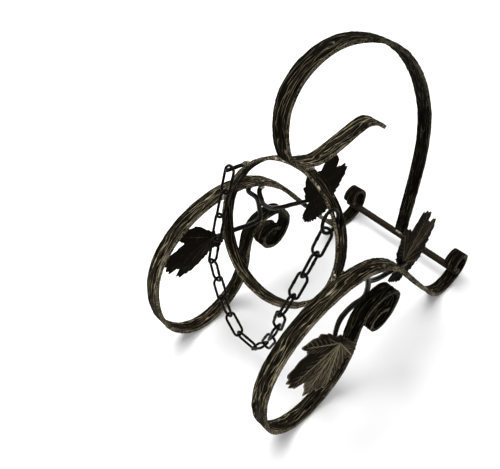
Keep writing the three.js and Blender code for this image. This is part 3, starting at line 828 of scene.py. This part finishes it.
def ring_frame(sizes):
    """The jump ring: its centre, the direction up its plane and its axis."""
    out, up, slot = slot_frame(sizes)
    ring_up = out * math.cos(RING_TILT) + up * math.sin(RING_TILT)
    back = sizes.ring_radius * math.cos(RING_DROP) + RING_OFFSET
    centre = slot - AXLE * back - ring_up * sizes.ring_radius * math.sin(RING_DROP)
    return centre, ring_up, unit(cross(AXLE, ring_up))


def chain_hooks(sizes):
    """Where the two ends of the chain hang, the peg's foot and the peg's direction."""
    centre, ring_up, _ = ring_frame(sizes)
    wires = (sizes.ring_wire + sizes.link_wire) / 2
    near = centre - ring_up * (sizes.ring_radius - wires - RING_GAP)
    height = near[2] - (sizes.peg_diameter + sizes.link_wire) / 2 - ROUND_GAP
    rise = (height - HOOP_HEIGHT) / RISE[2]
    foot_radius = sizes.hoop_radius + sizes.peg_diameter / 2
    foot = np.array([rise * RISE[0] + PEG_SETBACK, math.sqrt(foot_radius**2 - rise**2), height])
    way = np.array([-math.cos(PEG_SPREAD), math.sin(PEG_SPREAD), 0.0])
    far = foot + way * PEG_HOLD
    far[2] = near[2]
    return near, far, foot, way


def stem_points(sizes, which):
    """A stem's points, [x, distance inwards from the bar's middle, z]. It leaves the scroll square
    to it at one of the scroll's points and ends under its leaf; the front one also touches the
    scroll once on its way."""
    spans = 20
    curve = catmull(SCROLL, spans)
    slope = unit(np.gradient(curve, axis=0))
    start = sizes.bar_thickness / 2 + ROUND_GAP
    touch = sizes.bar_thickness / 2 + WELD_GAP + sizes.stem_diameter / 2

    def on_scroll(index, depth, inwards):
        spot = int(round(index * spans))
        x, z = curve[spot] + np.array([slope[spot][1], -slope[spot][0]]) * depth
        return [x, inwards, z]

    if which == "front":
        root, inwards = 40, 2.4
        rest = [
            [29.5, 2.8, 107], [32.2, 3, 95.5], on_scroll(14.9, touch, 4), [20.5, 4.2, 85.2],
            [11, 3, 87], [2.5, 1, 87.4], [-4.5, -2.2, 85.6], [-9, -5.4, 81],
        ]
    else:
        root, inwards = 40.75, 4.8
        rest = [
            [30.6, 7.1, 108], [31.7, 7.3, 103.5], [34.7, 7.3, 98.7], [40.4, 7.2, 92.4],
            [47.7, 7.2, 87.8], [55.7, 7.3, 84.3], [64, 7.7, 81.6], [73, 8.1, 78.2],
            [80.5, 8.3, 75.5], [89, 8.3, 73],
        ]
    depths = (start, start + sizes.stem_diameter)
    return [on_scroll(root, depth, inwards) for depth in depths] + rest


def side_stem(sizes, which, side):
    """A stem's points in space on one side of the holder."""
    x, inwards, z = np.array(stem_points(sizes, which), float).T
    return np.stack([x, side * (middle_y(sizes) - inwards), z], axis=1)


def rim_share(rim, angle):
    """The leaf's reach as a share of its length: cosine eased between lobe tips and notches."""
    degrees = np.abs(np.degrees(angle))
    halves = []
    for lobes in rim:
        stops, shares = np.array(lobes, float).T
        place = np.clip(np.searchsorted(stops, degrees, side="right") - 1, 0, len(stops) - 2)
        along = (degrees - stops[place]) / (stops[place + 1] - stops[place])
        rise = (1 - np.cos(math.pi * along)) / 2
        halves.append(shares[place] + (shares[place + 1] - shares[place]) * rise)
    return np.where(angle < 0, halves[1], halves[0])


def vein_height(x, y, rim, veins, length):
    """Height from 0 to 1 of the veins. Each is a line whose height falls with the square of the
    distance from it; main veins fan from the stem and side veins leave them in pairs."""
    height = np.zeros_like(x)

    def line(top, start, angle, reach, width, bow=0.0):
        away_x, away_y = x - start[0], y - start[1]
        along = away_x * math.cos(angle) + away_y * math.sin(angle)
        share = np.clip(along / reach, 0, 1)
        off = away_y * math.cos(angle) - away_x * math.sin(angle) - bow * 4 * share * (1 - share)
        taper = width * (1.2 - 0.7 * share) * np.clip(0.3 + along / 14, 0.3, 1)
        body = ease(along, -0.4, 0.6) * (1 - ease(along, 0.84 * reach, 1.02 * reach))
        drawn = top * np.exp(-((off / taper) ** 2)) * body * (1 - 0.4 * share)
        np.maximum(height, drawn, out=height)

    main, fine = veins
    for place, degrees in enumerate(main + fine):
        angle = math.radians(degrees)
        reach = 0.97 * length * float(rim_share(rim, np.array([angle]))[0])
        if place >= len(main):
            line(0.6, (0, 0), angle, reach, 0.36, 1.6 if place % 2 else 0.8)
            continue
        line(1.0, (0, 0), angle, reach, 0.55)
        pairs = 6 if reach > 0.6 * length else 3
        for step, turn in itertools.product(range(1, pairs + 1), (-33, 33)):
            run = reach * (0.14 + 0.125 * step)
            start = (run * math.cos(angle), run * math.sin(angle))
            branch = angle + math.radians(turn)
            line(0.7, start, branch, 0.26 * reach, 0.36, math.copysign(0.5, turn))
    return height


def leaf_shell(sizes, origin, directions, lay, turn):
    """Pressed vine leaf. On a polar grid about the stem, the rim is the lobed outline with pointed
    teeth; the sheet rises with the distance from the midrib, curls down towards the rim and waves
    a little, and the veins stand up on its upper face. The directions are those along the midrib,
    across it and out of the upper face, and a turn of -1 gives the leaf's mirror image."""
    length, thickness, fold, seed = sizes.leaf_length, sizes.leaf_thickness, lay["fold"], lay["seed"]
    columns, rows = 600, 46
    angle = -math.pi + (np.arange(columns) + 0.5) * 2 * math.pi / columns
    phase = (angle + math.pi) / (2 * math.pi) * TEETH
    saw = phase - np.floor(phase)
    tooth = np.where(saw < 0.35, saw / 0.35, (1 - saw) / 0.65) * 2 - 1
    strength = 0.6 + 0.8 * noise(phase, phase * 0, seed)
    reach = rim_share(lay["rim"], turn * angle)
    rim = length * (reach + TOOTH * tooth * strength * np.clip(reach * 2, 0.2, 1))
    share = (np.arange(rows) + 1.0)[:, None] / rows
    radius = share**0.9 * rim
    x, y = radius * np.cos(angle), radius * np.sin(angle)
    wave = 0.5 * np.sin(5 * angle + seed) * share**2
    wave = wave + 0.35 * np.sin(11 * angle + 2 * seed) * share**3
    sheet = fold * np.sqrt(y**2 + 4) - LEAF_DISH * (radius / length) ** 2 + wave - 2 * fold
    vein = vein_height(x, turn * y, lay["rim"], lay["veins"], length)
    half = 0.5 * thickness * np.sqrt(1 - 0.93 * np.clip((share - 0.9) / 0.1, 0, 1) ** 2)
    raised = sizes.vein_height * vein * (1 - ease(share, 0.95, 1.0))
    top = sheet + half + raised - noise(x / 3.0, y / 3.0, seed + 3) * 0.18 * share
    under = sheet - half + 0.35 * raised
    faces = [np.stack([x, y, level], axis=2).reshape(-1, 3) for level in (top, under)]
    middle = [[0.0, 0.0, thickness / 2 + 0.4], [0.0, 0.0, -thickness / 2]]
    flat = np.concatenate([*faces, middle])
    base = rows * columns
    upper, _, _ = grid_quads(rows, columns)
    edge = np.concatenate([np.arange(base - columns, base), np.arange(2 * base - columns, 2 * base)])
    quads = np.concatenate([upper, upper[:, ::-1] + base, edge[grid_quads(2, columns)[0]]])
    caps = [[2 * base, j, (j + 1) % columns] for j in range(columns)]
    caps += [[2 * base + 1, base + (j + 1) % columns, base + j] for j in range(columns)]
    # Painted light and shade: the half that lit names is painted lighter, the other half darker
    painted_lit_half = ease(lay["lit"] * turn * y, -6.0, 8.0)
    rub_and_painted_light = 0.95 * vein ** lay["crisp"] + 0.35 * ease(share, 0.94, 1.0) + 0.1 + 0.16 * painted_lit_half
    rub_and_painted_light = np.clip(rub_and_painted_light * lay["rub"], 0, 1).ravel()
    rub_and_painted_light = np.concatenate([rub_and_painted_light, 0.3 * rub_and_painted_light, [1.0, 0.0]])
    places = flat[quads][:, :, :2]
    # The ridge attribute carries the rubbed veins and rims and the painted light on one half
    return Shell(origin + flat @ np.array(directions), quads, places, caps, ridge=rub_and_painted_light)


def catenary_links(sizes):
    """The chain's links, each with its name, middle, directions along and across it and whether it
    is a leg link. The slope of each link grows evenly from the level middle link; the common
    growth is found by halving, so that the ends meet the hooks."""
    near, far, _, _ = chain_hooks(sizes)
    wire_reach = (sizes.link_length - sizes.link_wire) / 2
    loop_reach = wire_reach - sizes.link_wire - LINK_GAP
    span = far - near
    half_span = np.linalg.norm(span) / 2
    span = unit(span)
    side_links = (LINK_COUNT - 1) // 2

    def is_leg(i):
        return i < LEG_LINKS or i >= LINK_COUNT - LEG_LINKS

    def reach(i, neighbour):
        if neighbour < 0 or neighbour >= LINK_COUNT:
            return wire_reach
        if is_leg(i) != is_leg(neighbour):
            return loop_reach if is_leg(i) else wire_reach
        return wire_reach if i % 2 == 1 else loop_reach

    def run(i):
        return reach(i, i - 1) + reach(i, i + 1)

    low, high = 0.0, 50.0
    for _ in range(60):
        growth = (low + high) / 2
        reached = run(side_links) / 2 + sum(
            run(side_links - j) / math.hypot(1, j * growth) for j in range(1, side_links + 1)
        )
        low, high = (growth, high) if reached > half_span else (low, growth)
    upright = np.array([0.0, 0.0, -1.0])
    leaning = np.array(Matrix.Rotation(LEG_LEAN, 3, span.tolist())) @ upright
    joint = near.copy()
    links = []
    for i in range(LINK_COUNT):
        fall = leaning if is_leg(i) else upright
        along = unit(span - fall * (i - side_links) * growth)
        facing = unit(cross(span, fall))
        across = facing if i % 2 == 1 else unit(cross(facing, along))
        name = f"sling_link_{i + 1 - LEG_LINKS}"
        if is_leg(i):
            name = f"near_leg_link_{i + 1}" if i < LEG_LINKS else f"far_leg_link_{LINK_COUNT - i}"
        links.append((name, joint + along * reach(i, i - 1), along, across, is_leg(i)))
        joint = joint + along * run(i)
    return links


def link_shell(sizes, middle, along, across, seed):
    """Chain link: round wire along two straight sides and two half circles, swollen where its
    ends are welded in the middle of one side."""
    bend = (sizes.link_width - sizes.link_wire) / 2
    reach = (sizes.link_length - sizes.link_width) / 2
    arc, straight = math.pi * bend, 2 * reach
    rows, columns = 92, 16
    run = np.arange(rows) * 2 * (arc + straight) / rows
    half = run % (arc + straight)
    sign = np.where(run < arc + straight, 1.0, -1.0)
    turn = np.clip(half / bend, 0, math.pi)
    slide = np.clip(half - arc, 0, straight)
    x = sign * bend * np.cos(turn)
    y = sign * (reach + bend * np.sin(turn) - slide)
    out_x = sign * np.where(half < arc, np.cos(turn), -1)
    out_y = sign * np.where(half < arc, np.sin(turn), 0)
    path = middle + x[:, None] * across + y[:, None] * along
    outward = out_x[:, None] * across + out_y[:, None] * along
    face = np.broadcast_to(cross(across, along), path.shape)
    weld = np.exp(-(((run - arc - straight / 2) / 1.3) ** 2))[:, None]
    around, row = turns(columns), run[:, None]
    lump = noise(row / 1.2, np.cos(around) * 1.5 + 7, seed)
    thin = 0.04 * noise(row / 4, np.sin(around) + 5, seed)
    radius = sizes.link_wire / 2 - thin + (0.10 + 0.14 * lump) * weld
    return round_bar(path, outward, face, radius, True, run)


def cut_slot(made, sizes):
    """Cuts the ring's slot, a prism with half-round ends, right through the hoop."""
    out, up, centre = slot_frame(sizes)
    radius = sizes.slot_width / 2
    reach = (sizes.slot_length - sizes.slot_width) / 2
    turn = np.linspace(0, math.pi, 20)
    x = np.concatenate([radius * np.cos(turn), -radius * np.cos(turn)]) - SLOT_OFFSET
    y = np.concatenate([reach + radius * np.sin(turn), -reach - radius * np.sin(turn)])
    outline = centre + x[:, None] * AXLE + y[:, None] * up
    prism = outline + np.array([-SLOT_CUT, SLOT_CUT])[:, None, None] * out
    cutter = add_object("slot_cutter", shell_mesh("slot_cutter", grid_shell(prism)))
    cut = made.modifiers.new("slot", "BOOLEAN")
    cut.operation, cut.object, cut.solver = "DIFFERENCE", cutter, "EXACT"
    graph = bpy.context.evaluated_depsgraph_get()
    made_mesh = bpy.data.meshes.new_from_object(made.evaluated_get(graph), depsgraph=graph)
    made.modifiers.remove(cut)
    made.data = made_mesh
    cutter_mesh = cutter.data
    bpy.data.objects.remove(cutter)
    bpy.data.meshes.remove(cutter_mesh)


class HOLDER_OT_side_bars(bpy.types.Operator):
    """Forges the two scrolled side bars"""

    bl_idname = "holder.side_bars"
    bl_label = "Side bars"

    def execute(self, context):
        sizes = lengths(context)
        path, tangent, along = plane_path(SCROLL, pitch=1.0)
        # Dull in the front curl, bright from the front foot over the arch, dull from the rear foot
        # on:
        # partly rubbed wear, and partly painted shade that darkens the front curl
        wear = (0.2 + 0.65 * ease(along, 125, 235)) * (1 - 0.85 * ease(along, 590, 625))
        for (name, side), seed in zip(SIDES, (3, 59)):
            shell = forged_bar(
                sizes, path + SIDE * side * middle_y(sizes), tangent, along, SIDE,
                sizes.bar_width, sizes.bar_thickness, seed, wear, counts=(30, 9, 3),
            )
            # The feet are flat where they stand
            shell.points[:, 2] = np.maximum(shell.points[:, 2], 0)
            piece(f"{name}_side_bar", shell, "forged_bar", "holder", f"{name}_side_scroll_bar")
        return {"FINISHED"}


class HOLDER_OT_hoop(bpy.types.Operator):
    """Bends the hoop and cuts its slot"""

    bl_idname = "holder.hoop"
    bl_label = "Hoop"

    def execute(self, context):
        sizes = lengths(context)
        radius = sizes.hoop_radius - sizes.hoop_thickness / 2
        turn = turns(int(2 * math.pi * radius / 0.9))
        angle = turn - math.pi / 2
        shell = forged_bar(
            sizes, HOOP_CENTRE + radius * around_hoop(angle), around_hoop(angle + math.pi / 2),
            turn * radius, AXLE, sizes.hoop_width, sizes.hoop_thickness, seed=17,
            wear=np.full(len(turn), 0.6), counts=(26, 7, 3), closed=True, relief=0.8, corner=0.5,
        )
        cut_slot(piece("leaning_hoop", shell, "forged_bar", "holder", "hoop"), sizes)
        return {"FINISHED"}


class HOLDER_OT_handle(bpy.types.Operator):
    """Forges the loop handle with its tail"""

    bl_idname = "holder.handle"
    bl_label = "Handle"

    def execute(self, context):
        sizes = lengths(context)
        seat = hoop_seat(sizes)[[0, 2]]
        points = np.concatenate([np.array(HANDLE_FROM_SEAT) + seat, HANDLE_LEG])
        path, tangent, along = plane_path(points, pitch=0.9)
        # Bright on the tail as far as the hoop, duller up the loop and again past its top: partly
        # rubbed wear, and partly painted light on the tail's upper face and painted shade on the loop
        wear = 1 - 0.68 * ease(along, 72, 100) - 0.2 * ease(along, 190, 240)
        shell = forged_bar(
            sizes, path, tangent, along, SIDE, sizes.handle_width, sizes.handle_thickness,
            seed=31, wear=wear, counts=(26, 8, 3),
        )
        piece("loop_handle", shell, "forged_bar", "holder", "handle")
        return {"FINISHED"}


class HOLDER_OT_cross_rod(bpy.types.Operator):
    """Makes the rear cross rod"""

    bl_idname = "holder.cross_rod"
    bl_label = "Cross rod"

    def execute(self, context):
        sizes = lengths(context)
        reach = sizes.hoop_radius + WELD_GAP + sizes.bar_width
        near, far = ([ROD_X, side * reach, ROD_HEIGHT] for _, side in SIDES)
        shell = straight_rod(
            near, far, sizes.rod_diameter / 2, columns=40, pitch=0.8, roughness=0.35, seed=5
        )
        piece("cross_rod", shell, "dark_rod", "holder", "rear_cross_rod")
        return {"FINISHED"}


class HOLDER_OT_stems(bpy.types.Operator):
    """Bends the four leaf stems"""

    bl_idname = "holder.stems"
    bl_label = "Leaf stems"

    def execute(self, context):
        sizes = lengths(context)
        radius = sizes.stem_diameter / 2
        around = turns(20)
        for (name, side), which in itertools.product(SIDES, LEAF_PLACES):
            path, tangent, along = even_path(side_stem(sizes, which, side), pitch=0.6)
            across = unit(SIDE - tangent * tangent[:, 1:2])
            inset = end_inset(along, along[-1], 0.8 * radius)
            thin = 0.35 * ease(along, along[-1] - 22, along[-1])
            marks = noise(along[:, None] / 5, np.cos(around) + 4, 7 + side)
            wide = (radius - inset - thin)[:, None] - 0.12 * marks
            shell = round_bar(path, across, np.cross(tangent, across), wide, False, along)
            node = f"{name}_{which}_leaf_stem"
            piece(f"{name}_{which}_stem", shell, "stem_wire", "holder", node)
        return {"FINISHED"}


class HOLDER_OT_leaves(bpy.types.Operator):
    """Presses the four vine leaves"""

    bl_idname = "holder.leaves"
    bl_label = "Leaves"

    def execute(self, context):
        sizes = lengths(context)
        radius = sizes.stem_diameter / 2
        standoff = radius + sizes.leaf_thickness / 2
        for (name, side), (which, lay) in itertools.product(SIDES, LEAF_PLACES.items()):
            mirror = np.array([1, -side, 1])
            along = unit(lay["midrib"] * mirror)
            across = unit(np.cross(lay["face"] * mirror, along))
            upper = unit(np.cross(along, across))
            end = side_stem(sizes, which, side)[-1]
            origin = end + upper * lay["lies"] * standoff - along * radius
            shell = leaf_shell(sizes, origin, (along, across, upper), lay, -side)
            node = f"{name}_{which}_leaf"
            piece(f"{name}_{which}_vine_leaf", shell, "leaf_iron", "holder", node)
        return {"FINISHED"}


class HOLDER_OT_ring_and_peg(bpy.types.Operator):
    """Makes the jump ring and the chain peg"""

    bl_idname = "holder.ring_and_peg"
    bl_label = "Jump ring and peg"

    def execute(self, context):
        sizes = lengths(context)
        centre, ring_up, axis = ring_frame(sizes)
        angle = turns(120)
        row = angle[:, None]
        outward = np.cos(row) * AXLE + np.sin(row) * ring_up
        # A nick shows where the wire's ends meet
        cut = np.exp(-(((row - 2.2) / 0.035) ** 2))
        wide = (sizes.ring_wire / 2 - 0.4 * cut) * np.ones(20)
        path, normal = centre + sizes.ring_radius * outward, np.broadcast_to(axis, outward.shape)
        shell = round_bar(path, outward, normal, wide, True, angle * sizes.ring_radius)
        piece("slot_ring", shell, "chain_wire", "ring", "jump_ring")
        _, _, foot, way = chain_hooks(sizes)
        tip = foot + way * PEG_LENGTH
        shell = straight_rod(
            foot, tip, sizes.peg_diameter / 2, columns=28, pitch=0.4, roughness=0.12, seed=9
        )
        piece("hoop_peg", shell, "chain_wire", "holder", "chain_peg")
        return {"FINISHED"}


class HOLDER_OT_chain(bpy.types.Operator):
    """Makes the links of the slack chain"""

    bl_idname = "holder.chain"
    bl_label = "Chain"

    def execute(self, context):
        sizes = lengths(context)
        for seed, (name, middle, along, across, leg) in enumerate(catenary_links(sizes)):
            shell = link_shell(sizes, middle, along, across, seed)
            piece(f"{name}_wire", shell, "chain_wire", "chain_legs" if leg else "chain_sling", name)
        return {"FINISHED"}


class HOLDER_OT_welds(bpy.types.Operator):
    """Lays the weld beads that join the pieces"""

    bl_idname = "holder.welds"
    bl_label = "Weld beads"

    def execute(self, context):
        sizes = lengths(context)
        beads = []

        def lay(spot, first, second, radii, seed):
            beads.append(bead(spot, first, second, radii, seed))

        for degrees, reach in HOOP_SPECKS:
            outward = around_hoop(math.radians(degrees))
            spot = HOOP_CENTRE + outward * (sizes.hoop_radius - 1.1)
            spot = spot - AXLE * (sizes.hoop_width / 2 - 0.2)
            lay(spot, cross(AXLE, outward), outward, (reach, *SPECK_GIRTH), degrees)
        under = hoop_seat(sizes) - RISE * (sizes.handle_thickness / 2 + 0.1)
        for _, side in SIDES:
            spot = under + SIDE * side * (sizes.handle_width / 2 + 0.2)
            lay(spot, AXLE, RISE, BEADS["handle seat"], 3 + side)
            inner = side * (sizes.hoop_radius + WELD_GAP / 2)
            for shift in (-4.4, 4.4):
                spot = HOOP_CENTRE + SIDE * inner + AXLE * shift
                lay(spot, RISE, SIDE, BEADS["hoop side"], 7 + shift + side)
            curl = [ROD_X - 1.9, side * middle_y(sizes), ROD_HEIGHT + 3.4]
            lay(curl, SIDE, AXLE, BEADS["rear curl"], 11 + side)
            front, rear = (side_stem(sizes, which, side) for which in LEAF_PLACES)
            for stem in (front, rear):
                lay(stem[0], SIDE, AXLE, BEADS["stem root"], 13 + side)
            low = front[4] + [0.6, 0.0, -sizes.stem_diameter / 2 - 0.2]
            lay(low, AXLE, SIDE, BEADS["stem touch"], 19 + side)
        for shift in (-1.5, 1.5):
            spot = [ROD_X + shift, 0, ROD_HEIGHT + sizes.rod_diameter / 2 + 0.2]
            lay(spot, SIDE, AXLE, BEADS["handle foot"], 23 + shift)
        _, _, peg_foot, way = chain_hooks(sizes)
        lay(peg_foot + way * 1.5, way, RISE, BEADS["peg foot"], 29)
        piece("weld_beads", merged(beads), "forged_bar", "holder", finish="weld")
        return {"FINISHED"}


# The stage, in metres: the floor, the camera and each light's name, place, size and power
FLOOR_REACH = 6.0
FLOOR_LEVEL = -0.0002
CAMERA_PLACE = (-0.2371, -0.1812, 0.3967)
CAMERA_RIGHT = (0.7413, -0.6711, -0.0105)
CAMERA_DOWN = (-0.4874, -0.5275, -0.6959)
CAMERA_FORWARD = (0.4614, 0.5210, -0.7181)
CAMERA_LENS = 40.54
LIGHTS = (
    ("overhead", (-0.15, 0.30, 1.1), 0.8, 17.0),
    ("window", (-1.0, -0.5, 0.9), 0.7, 6.0),
    ("back", (0.9, 0.8, 0.9), 0.6, 6.0),
)
LIGHTS_AIM = Vector((0, 0, 0.09))
SKY_STRENGTH = 0.36


class HOLDER_OT_stage(bpy.types.Operator):
    """Sets up the pale floor, the soft lights and the camera"""

    bl_idname = "holder.stage"
    bl_label = "Stage"

    def execute(self, context):
        scene = context.scene
        mesh = bpy.data.meshes.new("floor")
        corners = [(x * FLOOR_REACH, y * FLOOR_REACH, FLOOR_LEVEL)
                   for x, y in ((-1, -1), (1, -1), (1, 1), (-1, 1))]
        mesh.from_pydata(corners, [], [range(4)])
        mesh.materials.append(finish_named("floor"))
        add_object("floor", mesh)

        world = bpy.data.worlds.new("studio")
        world.use_nodes = True
        background = world.node_tree.nodes["Background"]
        background.inputs["Color"].default_value = (1.0, 1.0, 1.0, 1.0)
        background.inputs["Strength"].default_value = SKY_STRENGTH
        scene.world = world
        for name, place, size, power in LIGHTS:
            light = bpy.data.lights.new(name, "AREA")
            light.shape, light.size, light.energy = "SQUARE", size, power
            lamp = add_object(name, light)
            lamp.location = place
            lamp.rotation_euler = (LIGHTS_AIM - lamp.location).to_track_quat("-Z", "Y").to_euler()

        lens = bpy.data.cameras.new("photo_camera")
        lens.sensor_width, lens.lens = 36.0, CAMERA_LENS
        lens.clip_start, lens.clip_end = 0.01, 50.0
        camera = add_object("photo_camera", lens)
        axes = Matrix((CAMERA_RIGHT, -Vector(CAMERA_DOWN), -Vector(CAMERA_FORWARD)))
        camera.matrix_world = Matrix.Translation(CAMERA_PLACE) @ axes.transposed().to_4x4()
        scene.camera = camera
        scene.view_settings.view_transform = "Standard"
        return {"FINISHED"}


class HOLDER_PT_panel(bpy.types.Panel):
    """Lists the holder's sizes, colours and steps"""

    bl_idname = "HOLDER_PT_panel"
    bl_label = "Bottle Holder"
    bl_space_type = "VIEW_3D"
    bl_region_type = "UI"
    bl_category = "Bottle Holder"

    def draw(self, context):
        for group in (context.scene.holder_sizes, context.scene.holder_colours):
            box = self.layout.box()
            for key in group.__annotations__:
                box.prop(group, key)
        for step in STEPS:
            self.layout.operator(step.bl_idname)


STEPS = (
    HOLDER_OT_stage, HOLDER_OT_side_bars, HOLDER_OT_hoop, HOLDER_OT_handle, HOLDER_OT_cross_rod,
    HOLDER_OT_stems, HOLDER_OT_leaves, HOLDER_OT_ring_and_peg, HOLDER_OT_chain, HOLDER_OT_welds,
)
CLASSES = (HolderSizes, HolderColours, *STEPS, HOLDER_PT_panel)


def register():
    for kind in CLASSES:
        bpy.utils.register_class(kind)
    bpy.types.Scene.holder_sizes = bpy.props.PointerProperty(type=HolderSizes)
    bpy.types.Scene.holder_colours = bpy.props.PointerProperty(type=HolderColours)


def unregister():
    del bpy.types.Scene.holder_colours
    del bpy.types.Scene.holder_sizes
    for kind in reversed(CLASSES):
        bpy.utils.unregister_class(kind)


def main():
    register()
    for step in STEPS:
        group, name = step.bl_idname.split(".")
        getattr(getattr(bpy.ops, group), name)()
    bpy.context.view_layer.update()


if __name__ == "__main__":
    main()
